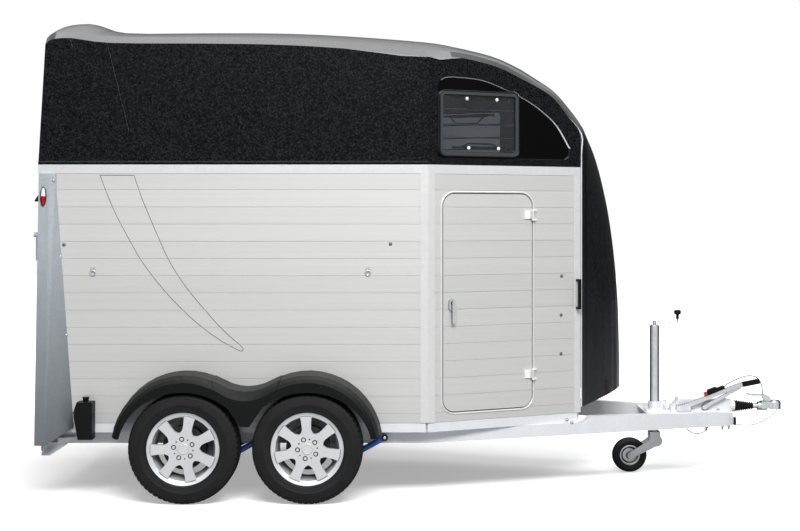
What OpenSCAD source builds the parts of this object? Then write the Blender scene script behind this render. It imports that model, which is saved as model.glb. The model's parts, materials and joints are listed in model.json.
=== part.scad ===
// Two-horse trailer on its wheels and jockey wheel, in millimetres.
// +X points to the coupling, +Y to the left, +Z up, and the ground is z = 0.

/* [Body] */
// Outer width over the plank side walls
body_width = 1750; // [1500:10:1950]
// Rear face of the rear posts
rear_x = -2250; // [-2600:10:-2000]
// Where the side walls turn in towards the nose
kink_x = 10; // [-200:10:200]
// Front corners of the body, behind the nose
corner_x = 950; // [800:10:1100]
// Distance between the two front corners
corner_width = 840; // [600:10:1000]
// Underside of the walls and floor
floor_z = 440; // [400:5:500]
// Top edge of the plank walls
wall_top_z = 1890; // [1700:10:2000]
// Thickness of a plank wall
wall_thick = 25; // [20:1:40]
// Height of one plank
plank_pitch = 100; // [80:5:150]
// Width of the joint between two planks
groove_width = 5; // [3:1:8]
// Depth of the joint between two planks
groove_depth = 2.5; // [1:0.5:5]
// Height of the belt rail between walls and hood
belt_height = 52; // [40:1:70]
// Thickness of the floor board
floor_thick = 25; // [18:1:30]

/* [Hood] */
// Highest point of the main roof
roof_z = 2790; // [2650:10:2900]
// Width of the slanting edge between roof and sides
chamfer = 42; // [30:1:60]
// Thickness of the hood moulding with its stiffening core
hood_thick = 16; // [10:1:25]
// How far the nose stands ahead of the front corners
nose_reach = 304; // [200:5:350]
// Underside of the nose at the front corners
nose_bottom_z = 471; // [450:1:600]

/* [Openings] */
// Start of the door opening, along the front wall from the kink
door_start = 99; // [80:1:150]
// Door width
door_width = 602; // [500:2:640]
// Bottom edge of the door
door_bottom_z = 495; // [480:5:600]
// Top edge of the door
door_top_z = 1773; // [1600:5:1800]
// Corner radius of the door
door_corner = 75; // [40:5:120]
// Gap round the door
door_gap = 6; // [5:1:10]
// Start of the window, along the front wall from the kink
window_start = 70; // [60:1:150]
// Window width over its frame
window_width = 543; // [400:1:600]
// Bottom edge of the window frame
window_bottom_z = 1992; // [1960:1:2100]
// Top edge of the window frame
window_top_z = 2383; // [2200:1:2400]
// Corner radius of the window
window_corner = 45; // [20:1:80]
// Width of the window frame
window_frame_width = 26; // [15:1:40]

/* [Ramp] */
// Top edge of the closed ramp
ramp_top_z = 1640; // [1400:10:1750]
// Thickness of the ramp
ramp_thick = 42; // [30:1:50]
// Height of the ramp hinge
ramp_hinge_z = 350; // [320:5:400]
// Diameter of the ramp hinge rod
ramp_pin_d = 16; // [12:1:20]

/* [Wheels] */
// Outer diameter of the road tyres
tyre_d = 634.5; // [600:0.5:660]
// Section width of the road tyres
tyre_w = 195; // [165:5:205]
// Diameter over the rim flange
rim_flange_d = 415; // [400:1:430]
// How far the tyres stand out past the side walls
tyre_standout = 205; // [185:1:260]
// Rear axle line
rear_axle_x = -1387; // [-1600:1:-1200]
// Distance between the two axle lines
axle_spacing = 706; // [680:1:760]
// Spokes of a road wheel
spoke_count = 7; // [5:1:9]
// Lug bolts of a road wheel
lug_count = 5; // [4:1:6]
// Bolt circle of the road wheels
lug_circle_d = 112; // [98:1:120]
// Diameter of the stub axles
stub_d = 40; // [35:1:50]

/* [Chassis] */
// Underside of the side rails and the drawbar
rail_bottom_z = 311; // [280:1:340]
// Height of the side rails below the floor frame
rail_height = 73; // [60:1:90]
// How far the side rails stand in from the side walls
rail_inset = 75; // [55:1:105]
// Width of a rail
rail_width = 55; // [40:1:70]
// Front end of the drawbar
drawbar_front_x = 1964; // [1800:1:2100]
// Outer faces of the drawbar at its front end, from the middle
drawbar_front_y = 100; // [90:1:130]
// Height of the drawbar at the body
drawbar_height = 107; // [90:1:120]
// Height of the drawbar at its front end
drawbar_tip_height = 83; // [70:1:107]

/* [Coupling] */
// Front end of the coupling head
coupling_tip_x = 2293; // [2200:1:2400]
// Middle line of the coupling and overrun shaft
coupling_z = 430; // [400:1:460]
// Ball diameter that the coupling takes
ball_d = 50; // [50:1:50]

/* [Jockey wheel] */
// Jockey tube line
jockey_x = 1482; // [1400:1:1550]
// Outer diameter of the jockey tube
jockey_tube_d = 60; // [48:1:70]
// Top of the jockey tube
jockey_top_z = 936; // [850:1:1000]
// Diameter of the jockey wheel
jockey_wheel_d = 221; // [200:1:230]
// Distance of the jockey wheel behind its tube
jockey_trail = 162; // [80:1:170]

/* [Hidden] */
$fn = 48;
eps = 0.01;

half_width = body_width / 2;
corner_y = corner_width / 2;
wall_angle = atan2(half_width - corner_y, corner_x - kink_x);
front_wall_length = norm([corner_x - kink_x, half_width - corner_y]);
belt_z = wall_top_z + belt_height;
mitre = tan(wall_angle / 2);

post_width = 61;
post_depth_y = 75;
post_inner_y = half_width - post_depth_y;
wall_rear_x = rear_x + 100;

tyre_face_y = half_width + tyre_standout;
rail_outer_y = half_width - rail_inset;
rail_top_z = rail_bottom_z + rail_height;
rail_mid_y = rail_outer_y - rail_width / 2;
frame_rail_y = half_width - 3;
axle_xs = [rear_axle_x, rear_axle_x + axle_spacing];
axle_mid_x = (axle_xs[0] + axle_xs[1]) / 2;
tyre_r = tyre_d / 2;
wheel_mid_y = tyre_face_y - tyre_w / 2;
running_gap = 0.05;

function half_width_at(x) =
    x <= kink_x ? half_width : half_width - (min(x, corner_x) - kink_x) * tan(wall_angle);

// Mirrors what is modelled on the left side to the right side as well.
module both_sides() {
    children();
    mirror([0, 1, 0]) children();
}

// Frame on the left front wall: x along it from the kink, y out of it, z up.
module on_front_wall() {
    translate([kink_x, half_width, 0]) rotate(-wall_angle) children();
}

// Upright plate from an outline in x and z, its outer face at y = 0.
module wall_plate(thick) {
    rotate([90, 0, 0]) linear_extrude(thick) children();
}

module rounded_rect(x, z, w, h, r) {
    translate([x, z]) {
        translate([r, 0]) square([w - 2 * r, h]);
        translate([0, r]) square([w, h - 2 * r]);
        for (cx = [r, w - r], cz = [r, h - r]) translate([cx, cz]) circle(r);
    }
}

// Round bar from p to q.
module rod(p, q, d) {
    v = q - p;
    translate(p)
        rotate([0, acos(v[2] / norm(v)), atan2(v[1], v[0])])
            cylinder(d = d, h = norm(v));
}

// Closed shell on a grid of points, its thickness on the side away from the normals.
function grid_normal(g, i, j) =
    let (
        down = g[min(i + 1, len(g) - 1)][j] - g[max(i - 1, 0)][j],
        along = g[i][min(j + 1, len(g[0]) - 1)] - g[i][max(j - 1, 0)],
        n = cross(down, along)
    ) n / norm(n);

module shell(g, thick, first, last) {
    rows = last - first + 1;
    cols = len(g[0]);
    outer = [for (i = [first : last]) each g[i]];
    inner = [for (i = [first : last], j = [0 : cols - 1]) g[i][j] - thick * grid_normal(g, i, j)];
    count = rows * cols;
    sheet_faces = [for (i = [0 : rows - 2], j = [0 : cols - 2])
        let (a = i * cols + j, b = a + 1, c = a + cols + 1, d = a + cols)
            each [[a, b, c], [a, c, d], [count + a, count + c, count + b],
                [count + a, count + d, count + c]]];
    side_faces = [for (i = [0 : rows - 2])
        let (a = i * cols, d = a + cols, b = a + cols - 1, c = b + cols)
            each [[a, d, count + d], [a, count + d, count + a],
                [c, b, count + b], [c, count + b, count + c]]];
    end_faces = [for (j = [0 : cols - 2])
        let (a = j, b = j + 1, c = (rows - 1) * cols + j, d = c + 1)
            each [[b, a, count + a], [b, count + a, count + b],
                [c, d, count + d], [c, count + d, count + c]]];
    polyhedron(concat(outer, inner), concat(sheet_faces, side_faces, end_faces));
}

// Solid between two outlines with as many points each, such as a tapered post.
module loft(low, high) {
    n = len(low);
    polyhedron(concat(low, high), concat(
        [for (i = [1 : n - 2]) [0, i, i + 1]],
        [for (i = [1 : n - 2]) [n, n + i + 1, n + i]],
        [for (i = [0 : n - 1]) [(i + 1) % n, i, n + i]],
        [for (i = [0 : n - 1]) [(i + 1) % n, n + i, n + (i + 1) % n]]));
}

// ---- Body walls ----

module plank_grooves(length) {
    for (z = [wall_top_z - 96 : -plank_pitch : floor_z + 20])
        translate([-1, -groove_depth, z - groove_width / 2])
            cube([length + 2, groove_depth + 1, groove_width]);
}

module side_walls() color("gainsboro") both_sides() difference() {
    translate([0, 0, floor_z]) linear_extrude(wall_top_z - floor_z) polygon([
        [wall_rear_x, half_width], [kink_x, half_width],
        [kink_x - wall_thick * mitre, half_width - wall_thick],
        [wall_rear_x, half_width - wall_thick]]);
    translate([wall_rear_x, half_width, 0]) plank_grooves(kink_x - wall_rear_x);
}

module door_outline(grow) {
    rounded_rect(door_start - grow, door_bottom_z - grow, door_width + 2 * grow,
        door_top_z - door_bottom_z + 2 * grow, door_corner + grow);
}

module front_walls() color("gainsboro") both_sides() on_front_wall() difference() {
    translate([0, 0, floor_z]) linear_extrude(wall_top_z - floor_z) polygon([
        [0, 0], [front_wall_length, 0], [front_wall_length, -wall_thick],
        [wall_thick * mitre, -wall_thick]]);
    plank_grooves(front_wall_length);
    translate([0, 1, 0]) wall_plate(wall_thick + 2) door_outline(door_gap);
}

// Inner front panel that closes the stall behind the nose.
front_panel_thick = 15;
module front_panel() color("silver")
    translate([corner_x - front_panel_thick, 0, floor_z])
        linear_extrude(wall_top_z - floor_z) polygon([
            for (p = [[0, -1], [front_panel_thick, -1], [front_panel_thick, 1], [0, 1]])
                [p[0], p[1] * (half_width_at(corner_x - front_panel_thick + p[0]) - wall_in)]]);

wall_in = wall_thick / cos(wall_angle);
floor_rear_x = rear_x + 79;
module floor_board() color("burlywood") {
    translate([0, 0, floor_z]) linear_extrude(floor_thick) union() {
        polygon(concat(
            [for (p = floor_outline) [p[0], -p[1]]],
            [for (i = [len(floor_outline) - 1 : -1 : 0]) floor_outline[i]]));
        translate([floor_rear_x, -post_inner_y])
            square([wall_rear_x - floor_rear_x + 1, 2 * post_inner_y]);
    }
}

// Rubber mats on both sides of the partition posts.
mat_thick = 8;
module floor_mats() color("dimgray") both_sides()
    translate([wall_rear_x + 30, 40, floor_z + floor_thick])
        cube([kink_x - wall_rear_x - 60, half_width - wall_thick - 50, mat_thick]);
floor_outline = [
    [wall_rear_x, half_width - wall_thick],
    [kink_x - wall_thick * mitre, half_width - wall_thick],
    [corner_x - front_panel_thick, half_width_at(corner_x - front_panel_thick) - wall_in]];

// Belt rails along the wall tops, and the strips over the wall corners.
strip_thick = 2.5;
rail_deep = 40;
end_wrap = 3;
strip_gap = 0.02;
function kink_point(v) = [kink_x + v * mitre, half_width + v];
function front_point(u, v) = [kink_x + u * cos(wall_angle) + v * sin(wall_angle),
    half_width - u * sin(wall_angle) + v * cos(wall_angle)];
module body_rails() color("lightgray") both_sides() {
    translate([0, 0, wall_top_z]) linear_extrude(belt_height) polygon([
        [rear_x - 8, half_width + strip_thick], kink_point(strip_thick),
        front_point(front_wall_length + end_wrap, strip_thick),
        front_point(front_wall_length + end_wrap, strip_thick - rail_deep),
        kink_point(strip_thick - rail_deep), [rear_x - 8, half_width + strip_thick - rail_deep]]);
    translate([0, 0, floor_z]) linear_extrude(wall_top_z - floor_z) {
        polygon([[kink_x - 45, half_width + strip_gap], [kink_x - 45, half_width + strip_thick],
            kink_point(strip_thick), front_point(42, strip_thick), front_point(42, strip_gap),
            kink_point(strip_gap)]);
        polygon([for (c = [[-40, strip_gap], [-40, strip_thick], [end_wrap, strip_thick],
                [end_wrap, -wall_thick], [strip_gap, -wall_thick], [strip_gap, strip_gap]])
            front_point(front_wall_length + c[0], c[1])]);
    }
}

// Galvanised rear posts that flare out towards the ground.
post_bottom_z = 326;
post_step_z = 414;
post_top_y = half_width + 20;
post_bottom_y = half_width + 125;
post_slope = atan((post_bottom_y - post_top_y) / (wall_top_z - post_bottom_z));
function post_face_y(z) = post_top_y + (wall_top_z - z) * tan(post_slope);
function post_outline(z, step_z, flare_y, wall_x) = [
    [rear_x, half_width, z], [wall_x, half_width, step_z],
    [rear_x + post_width, flare_y, z], [rear_x, flare_y, z]];

module rear_posts() color("slategray") both_sides() {
    translate([rear_x, post_inner_y, post_bottom_z])
        cube([wall_rear_x - rear_x, post_depth_y, wall_top_z - post_bottom_z]);
    loft(post_outline(post_bottom_z, post_step_z, post_bottom_y, rear_x + 199),
        post_outline(wall_top_z, wall_top_z, post_top_y, rear_x + 93));
}

// ---- Hood and nose ----

// Stations from the rear edge over the roof to the foot of the nose. Each has an
// anchor (0 rear, 1 kink, 2 corner), the middle line's x from it and drop below
// the roof, and the side edge's x from it and drop below the roof.
ANCHOR = 0;
MID_X = 1;
MID_DROP = 2;
EDGE_X = 3;
EDGE_DROP = 4;
nose_edge = end_wrap + 9;
hood_stations = [
    [0, 30, 10, 33, 150],
    [0, 60, -45, 60, 125],
    [0, 110, -60, 110, 114],
    [0, 200, -60, 200, 114],
    [0, 410, 0, 410, 140],
    [0, 900, 0, 900, 144],
    [0, 1350, 0, 1350, 150],
    [1, -490, 15, -490, 173],
    [1, -10, 50, -10, 222],
    [1, 145, 77, 201, 217],
    [1, 396, 133, 414, 259],
    [1, 560, 200, 560, 320],
    [2, -286, 254, -255, 378],
    [2, -155, 343, -167, 435],
    [2, -60, 435, -85, 530],
    [2, 40, 575, nose_edge, 640]];
nose_stations = [
    [2, 118, 718, nose_edge, 765],
    [2, 165, 848, nose_edge, 900],
    [2, nose_reach - 90, 1050, nose_edge, 1060],
    [2, nose_reach - 58, 1230, nose_edge, 1230],
    [2, nose_reach - 32, 1436, nose_edge, 1436],
    [2, nose_reach - 12, 1680, nose_edge, 1680],
    [2, nose_reach - 4, 1918, nose_edge, 1918],
    [2, nose_reach, 2090, nose_edge, 2180],
    [2, nose_reach, roof_z - nose_bottom_z - 91, nose_edge, roof_z - nose_bottom_z]];

anchor_xs = [rear_x, kink_x, corner_x];
stations = concat(hood_stations, nose_stations);
nose_row = len(hood_stations) - 1;

// Share of the way from the side edge to the middle that the surface has risen.
function rise(s, edge_y, span) =
    let (sc = chamfer / edge_y, gc = min(0.45, chamfer / span))
        s <= sc ? gc * s / sc
        : max(gc, gc + (1 - gc) * (1 - pow((1 - s) / (1 - sc), 2)));

shell_steps = [0, 0.05, 0.12, 0.22, 0.35, 0.5, 0.66, 0.83, 1];
function station_row(st) =
    let (
        mid = [anchor_xs[st[ANCHOR]] + st[MID_X], roof_z - st[MID_DROP]],
        edge = [anchor_xs[st[ANCHOR]] + st[EDGE_X], roof_z - st[EDGE_DROP]],
        edge_y = half_width_at(edge[0]),
        span = norm(mid - edge),
        left = [for (s = shell_steps)
            let (g = rise(s, edge_y, span), p = edge + g * (mid - edge))
                [p[0], edge_y * (1 - s), p[1]]]
    ) concat([for (p = left) [p[0], -p[1], p[2]]],
        [for (i = [len(left) - 2 : -1 : 0]) left[i]]);

// Smooth curve through the stations, with a few rows between each two.
function spline(a, b, c, d, t) =
    0.5 * (2 * b + (c - a) * t + (2 * a - 5 * b + 4 * c - d) * t * t
        + (3 * b - a - 3 * c + d) * t * t * t);
rows_between = 3;
station_points = [for (st = stations) station_row(st)];
last_station = len(stations) - 1;
hood_grid = [for (i = [0 : last_station], k = [0 : i < last_station ? rows_between - 1 : 0])
    [for (j = [0 : len(station_points[0]) - 1])
        spline(station_points[max(i - 1, 0)][j], station_points[i][j],
            station_points[min(i + 1, last_station)][j],
            station_points[min(i + 2, last_station)][j], k / rows_between)]];

function edge_drop_z(st) = roof_z - st[EDGE_DROP];
function edge_x(st) = anchor_xs[st[ANCHOR]] + st[EDGE_X];

module window_outline(grow) {
    rounded_rect(window_start - grow, window_bottom_z - grow, window_width + 2 * grow,
        window_top_z - window_bottom_z + 2 * grow, window_corner + grow);
}

// Hollow in the hood round the window, which runs out towards the nose.
recess_margin = 8;
recess_depth = 8;
recess_taper = 0.985;
recess_knots = [[-recess_margin, 408], [14, 448], [65, 467], [195, 465], [335, 446],
    [570, 360], [710, 282], [815, 195], [905, 63]];
function smooth(knots, n) = [for (i = [0 : len(knots) - 2],
    k = [0 : i < len(knots) - 2 ? n - 1 : n]) spline(knots[max(i - 1, 0)], knots[i], knots[i + 1], knots[min(i + 2, len(knots) - 1)], k / n)];
module recess_outline() {
    polygon(concat([[-recess_margin, -recess_margin]], smooth(recess_knots, 4),
        [[898, 13], [870, -recess_margin]]));
    rounded_rect(-recess_margin, -recess_margin, window_width + 2 * recess_margin,
        window_top_z - window_bottom_z + 2 * recess_margin, window_corner + recess_margin);
}
module window_recess() translate([window_start, 0, window_bottom_z])
    translate([window_width * 0.75, eps, window_width * 0.4]) rotate([90, 0, 0])
        linear_extrude(recess_depth + eps, scale = recess_taper)
            translate([-window_width * 0.75, -window_width * 0.4]) recess_outline();

// Joint lines of the raised rear part of the hood.
crease_width = 6;
crease_depth = 2;
module hood_crease(low, high) translate([0, half_width + 1, 0]) wall_plate(crease_depth + 1)
    polygon([[low[0], low[1]], [low[0] + crease_width, low[1]],
        [high[0] + crease_width, high[1]], [high[0], high[1]]]);

// Folded lip along the foot of the hood.
lip_height = 20;
lip_proud = 3;
lip_section = [[0, 0], [lip_proud, 0], [lip_proud, lip_height - 4], [0, lip_height]];

module hood() color("dimgray") difference() {
    union() {
        shell(hood_grid, hood_thick, 0, nose_row * rows_between);
        both_sides() {
            translate([0, half_width, 0]) wall_plate(hood_thick) polygon(concat(
                [[rear_x - 8, belt_z]],
                [for (row = hood_grid) let (p = row[len(row) - 1])
                    if (p[0] <= kink_x && p[2] > belt_z) [p[0], p[2]]],
                [[kink_x, hood_kink_z], [kink_x, belt_z]]));
            on_front_wall() wall_plate(hood_thick) polygon(concat(
                [[0, belt_z], [0, hood_kink_z]],
                [for (row = hood_grid) let (p = row[len(row) - 1])
                    if (p[0] > kink_x && p[0] < corner_x - 2 && p[2] > belt_z)
                        [(p[0] - kink_x) / cos(wall_angle), p[2]]],
                [[front_wall_length, roof_z - 640], [front_wall_length, belt_z]]));
            translate([rear_x - 8, half_width - eps, belt_z]) rotate([90, 0, 90])
                linear_extrude(kink_x - rear_x + 8) polygon(lip_section);
        }
    }
    both_sides() {
        on_front_wall() window_recess();
        on_front_wall() translate([0, 20, 0])
            wall_plate(60) window_outline(-window_frame_width + pane_seat);
        hood_crease([rear_x + 520, belt_z + 190], [rear_x + 395, roof_z - 150]);
        hood_crease([rear_x + 190, roof_z - 165], [rear_x + 178, roof_z - 110]);
    }
}
pane_seat = 6;
hood_kink_z = roof_z - 221;

nose_seam = 0.5;
module nose_cap() color("dimgray") translate([nose_seam, 0, 0])
    shell(hood_grid, 8, nose_row * rows_between, len(hood_grid) - 1);

// ---- Windows ----

frame_proud = 6;
guard_bar_zs = [window_bottom_z + 114, window_bottom_z + 191, window_bottom_z + 281];
module window_frames() color("black") both_sides() on_front_wall() {
    difference() {
        translate([0, frame_proud, 0]) wall_plate(frame_proud + recess_depth) window_outline(0);
        translate([0, frame_proud + 1, 0]) wall_plate(frame_proud + recess_depth + 2)
            window_outline(-window_frame_width);
    }
    for (z = guard_bar_zs)
        translate([window_start + window_frame_width - pane_seat - 12, -hood_thick - 5, z - 4])
            cube([window_width - 2 * (window_frame_width - pane_seat) + 24, 5, 8]);
}

pane_thick = 4;
module window_panes() color("lightblue") both_sides() on_front_wall()
    translate([0, -recess_depth, 0]) wall_plate(pane_thick)
        window_outline(-window_frame_width + pane_seat);

// ---- Doors ----

hinge_u = door_start + door_width + door_gap / 2;
hinge_pin_d = 10;
hinge_out = 12;
hinge_zs = [door_bottom_z + 175, door_top_z - 145];
hinge_height = 45;

module door_leaf() color("whitesmoke") on_front_wall() {
    difference() {
        wall_plate(wall_thick) door_outline(0);
        translate([door_start, 0, 0]) plank_grooves(door_width);
    }
    for (z = hinge_zs) translate([hinge_u - 55, 0, z]) cube([37, 5, hinge_height]);
    for (z = hinge_zs) difference() {
        union() {
            translate([hinge_u, hinge_out, z]) cylinder(d = 20, h = hinge_height);
            translate([hinge_u - 20, 0, z]) cube([20, hinge_out + 6, hinge_height]);
        }
        translate([hinge_u, hinge_out, z - 1])
            cylinder(d = hinge_pin_d + 2 * running_gap, h = hinge_height + 2);
        translate([hinge_u, -20, z - 1]) cube([30, 20 + eps, hinge_height + 2]);
    }
}

module door_left() door_leaf();
module door_right() mirror([0, 1, 0]) door_leaf();

module door_hinges() color("white") both_sides() on_front_wall()
    for (z = hinge_zs) {
        translate([hinge_u, hinge_out, z - 12]) cylinder(d = hinge_pin_d, h = hinge_height + 24);
        for (zz = [z - 12, z + hinge_height + 0.5]) {
            translate([hinge_u, hinge_out, zz]) cylinder(d = 20, h = 11.5);
            translate([hinge_u, 0, zz]) cube([24, hinge_out, 11.5]);
        }
    }

handle_u = door_start + 55;
handle_z = 1121;
// Oval backplate with a round neck, from which the grip hangs down.
module door_handle() color("silver") on_front_wall()
    translate([handle_u, 0, handle_z]) rotate([-90, 0, 0]) {
        linear_extrude(8) offset(r = 20) square([2, 30], center = true);
        translate([3, -10, 7]) cylinder(d = 24, h = 15);
        translate([3, 40, 16]) linear_extrude(10) offset(r = 10) square([2, 116], center = true);
    }
module door_handle_left() door_handle();
module door_handle_right() mirror([0, 1, 0]) door_handle();

// ---- Ramp ----

ramp_outer_x = rear_x + 25;
ramp_pin_x = ramp_outer_x;
ramp_half_width = post_inner_y - 6;
ramp_bottom_z = ramp_hinge_z + 20;
knuckle_y = ramp_half_width - 194;
knuckle_ys = [-knuckle_y, 0, knuckle_y];
module ramp() color("gainsboro") difference() {
    union() {
        translate([ramp_outer_x, -ramp_half_width, ramp_bottom_z])
            cube([ramp_thick, 2 * ramp_half_width, ramp_top_z - ramp_bottom_z]);
        for (y = knuckle_ys) {
            translate([ramp_pin_x, y - 60, ramp_hinge_z])
                rotate([-90, 0, 0]) cylinder(d = ramp_pin_d + 14, h = 120);
            translate([ramp_pin_x, y - 60, ramp_hinge_z])
                cube([(ramp_pin_d + 14) / 2, 120, ramp_bottom_z - ramp_hinge_z + 2]);
        }
    }
    for (y = knuckle_ys) translate([ramp_pin_x, y - 61, ramp_hinge_z]) rotate([-90, 0, 0])
        cylinder(d = ramp_pin_d + 2 * running_gap, h = 122);
    for (z = [ramp_hinge_z + 112 : plank_pitch : ramp_top_z - 40])
        translate([ramp_outer_x - 1, -ramp_half_width - 1, z - groove_width / 2])
            cube([groove_depth + 1, 2 * ramp_half_width + 2, groove_width]);
}

// Lugs and rods of the ramp hinge, welded to the rear cross beam.
module ramp_hinge_lugs() for (y = knuckle_ys) {
    translate([ramp_pin_x, y - 75, ramp_hinge_z]) rotate([-90, 0, 0])
        cylinder(d = ramp_pin_d, h = 150);
    for (yy = [y - 75, y + 61]) {
        translate([ramp_pin_x, yy, ramp_hinge_z]) rotate([-90, 0, 0])
            cylinder(d = ramp_pin_d + 12, h = 14);
        translate([ramp_pin_x, yy, rail_bottom_z + 10])
            cube([floor_rear_x - ramp_pin_x + 5, 14, ramp_hinge_z - rail_bottom_z]);
    }
}

latch_z = ramp_top_z - 107;
module ramp_latches() color("silver") both_sides() {
    translate([rear_x - 16, post_inner_y + 10, latch_z - 22]) cube([16, 44, 44]);
    translate([rear_x - 30, post_inner_y + 20, latch_z - 150]) cube([14, 22, 165]);
    translate([rear_x - 43, post_inner_y + 31, latch_z]) rotate([0, 90, 0])
        cylinder(d = 26, h = 27);
}

// ---- Chassis ----

cross_xs = [wall_rear_x + 400, axle_mid_x, kink_x - 310, kink_x, kink_x + 490];
cross_width = 50;
bumper_bottom_z = 250;
module rear_bumper() difference() {
    translate([0, half_width, 0]) wall_plate(body_width) polygon([
        [rear_x + 8, bumper_bottom_z], [rear_x + 60, bumper_bottom_z - 1],
        [rear_x + 200, rail_bottom_z + 40], [wall_rear_x, rail_bottom_z + 40],
        [wall_rear_x, post_bottom_z], [rear_x + 8, post_bottom_z]]);
    both_sides() translate([rear_x, half_width, bumper_bottom_z - 2])
        rotate([45, 0, 0]) translate([0, 0, -80]) cube([300, 80, 160]);
}

module chassis_frame() color("slategray") {
    both_sides() {
        translate([floor_rear_x, rail_outer_y - rail_width, rail_bottom_z])
            cube([kink_x - floor_rear_x, rail_width, rail_height]);
        translate([wall_rear_x, frame_rail_y - 60, rail_top_z])
            cube([kink_x - 60 * mitre - wall_rear_x, 60, floor_z - rail_top_z]);
        on_front_wall() translate([0, -63, rail_top_z])
            cube([front_wall_length - 20, 60, floor_z - rail_top_z]);
    }
    for (x = cross_xs) let (y = x > kink_x ? half_width_at(x) - 60 : frame_rail_y - 30)
        translate([x - cross_width / 2, -y, rail_top_z])
            cube([cross_width, 2 * y, floor_z - rail_top_z]);
    translate([corner_x - 55, -corner_y + 30, rail_top_z])
        cube([cross_width, 2 * corner_y - 60, floor_z - rail_top_z]);
    translate([floor_rear_x, -rail_outer_y, rail_bottom_z])
        cube([45, 2 * rail_outer_y, floor_z - rail_bottom_z]);
    rear_bumper();
    ramp_hinge_lugs();
}

drawbar_root_x = kink_x;
drawbar_root_y = rail_outer_y;
drawbar_run = norm([drawbar_front_x - drawbar_root_x, drawbar_root_y - drawbar_front_y]);
drawbar_angle = atan2(drawbar_root_y - drawbar_front_y, drawbar_front_x - drawbar_root_x);
plate_z = rail_bottom_z + drawbar_tip_height;
plate_thick = 8;
plate_rear_x = jockey_x - 70;
function run_at(x) = (x - drawbar_root_x) / cos(drawbar_angle);
function drawbar_outer_y(x) = drawbar_root_y - (x - drawbar_root_x) * tan(drawbar_angle);
function drawbar_inner_y(x) = drawbar_outer_y(x) - rail_width / cos(drawbar_angle);

// Two rails that run together, and the top plate that joins them under the overrun unit.
module drawbar() color("slategray") difference() {
    union() {
        both_sides() translate([drawbar_root_x, drawbar_root_y, rail_bottom_z])
            rotate(-drawbar_angle) wall_plate(rail_width) polygon([
                [0, 0], [drawbar_run, 0], [drawbar_run, drawbar_tip_height],
                [run_at(corner_x + 70), drawbar_height],
                [run_at(corner_x + 30), rail_height - 0.3], [0, rail_height - 0.3]]);
        translate([0, 0, plate_z - plate_thick]) linear_extrude(plate_thick) polygon([
            for (c = [[plate_rear_x, -1], [drawbar_front_x - 5, -1],
                    [drawbar_front_x - 5, 1], [plate_rear_x, 1]])
                [c[0], c[1] * (drawbar_inner_y(c[0]) + 5)]]);
    }
    translate([jockey_x, 0, 0]) cylinder(d = jockey_tube_d + 1, h = 600);
    translate([kink_x - rail_width, -body_width, 0]) cube([rail_width, 2 * body_width, 600]);
}

// ---- Axles and wheels ----

axle_tube = 80;
arm_reach = 160;
axle_tube_z = rail_bottom_z - axle_tube / 2;
arm_thick = 30;
damper_foot_z = 205;
damper_y = rail_outer_y + arm_thick + 22;
arm_y = rail_outer_y;
stub_end_y = tyre_face_y - 80;
module axles() color("slategray") for (x = axle_xs) {
    translate([x + arm_reach - axle_tube / 2, -arm_y - 5, axle_tube_z - axle_tube / 2])
        cube([axle_tube, 2 * arm_y + 10, axle_tube]);
    both_sides() {
        translate([0, arm_y, 0]) rotate([-90, 0, 0]) linear_extrude(arm_thick) polygon([
                [x - 30, -tyre_r + 30], [x - 30, -tyre_r - 30], [x + 30, -tyre_r - 28],
                [x + arm_reach + 30, -axle_tube_z - 20], [x + arm_reach + 30, -damper_foot_z + 18],
                [x + arm_reach - 15, -damper_foot_z + 18], [x + arm_reach - 50, -axle_tube_z + 30]]);
        translate([x, arm_y + 5, tyre_r]) rotate([-90, 0, 0])
            cylinder(d = stub_d, h = stub_end_y - arm_y - 5);
    }
}

// Wheel parts are modelled along z, with their outer face at z = 0 and up.
module wheel_place(i, side) {
    translate([axle_xs[i], side * tyre_face_y, tyre_r]) rotate([-90 * side, 0, 0]) children();
}

bead_r = rim_flange_d / 2 - 17;
module tyre_shape() color("black") translate([0, 0, -tyre_w / 2]) rotate_extrude($fn = 96)
    polygon(concat(tyre_half, [for (i = [len(tyre_half) - 1 : -1 : 0])
        [tyre_half[i][0], -tyre_half[i][1]]]));
tyre_half = [
    [tyre_r - 16, 50], [tyre_r - 24, 66], [bead_r + 14, 60], [bead_r + 1, 62],
    [bead_r + 1, 74.5], [rim_flange_d / 2, 81.5], [rim_flange_d / 2 + 2, 88],
    [bead_r + 45, tyre_w / 2], [tyre_r - 45, tyre_w / 2 - 3], [tyre_r - 14, 87],
    [tyre_r - 4, 78], [tyre_r, 60]];

spoke_r = rim_flange_d / 2 - 14;
hub_r = 78;
spoke_waist = 52;
spoke_flare = 68;
waist_r = 116;
function spoke_half(r) = (spoke_waist + (spoke_flare - spoke_waist)
    * pow(abs(r - waist_r) / (spoke_r - waist_r), 2)) / 2;
window_root_r = 92;
window_rs = [for (k = [0 : 8]) window_root_r + (spoke_r - window_root_r) * pow(k / 8, 1.6)];
function window_side(sign) = [for (k = [0 : 8])
    let (r = window_rs[k], a = 180 / spoke_count - asin(min(0.99, spoke_half(r) / r)),
        open = min(1, sqrt((r - window_root_r) / 16)))
        [r * cos(a * open * sign), r * sin(a * open * sign)]];

// Opening between two spokes: round at the hub, and cut off by an arc under the flange.
module spoke_window() {
    right = window_side(-1);
    left = window_side(1);
    a = atan2(left[8][1], left[8][0]);
    polygon(concat(right, [for (t = [-0.66, -0.33, 0, 0.33, 0.66])
            spoke_r * [cos(a * t), sin(a * t)]],
        [for (i = [len(left) - 1 : -1 : 1]) left[i]]));
}

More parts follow.
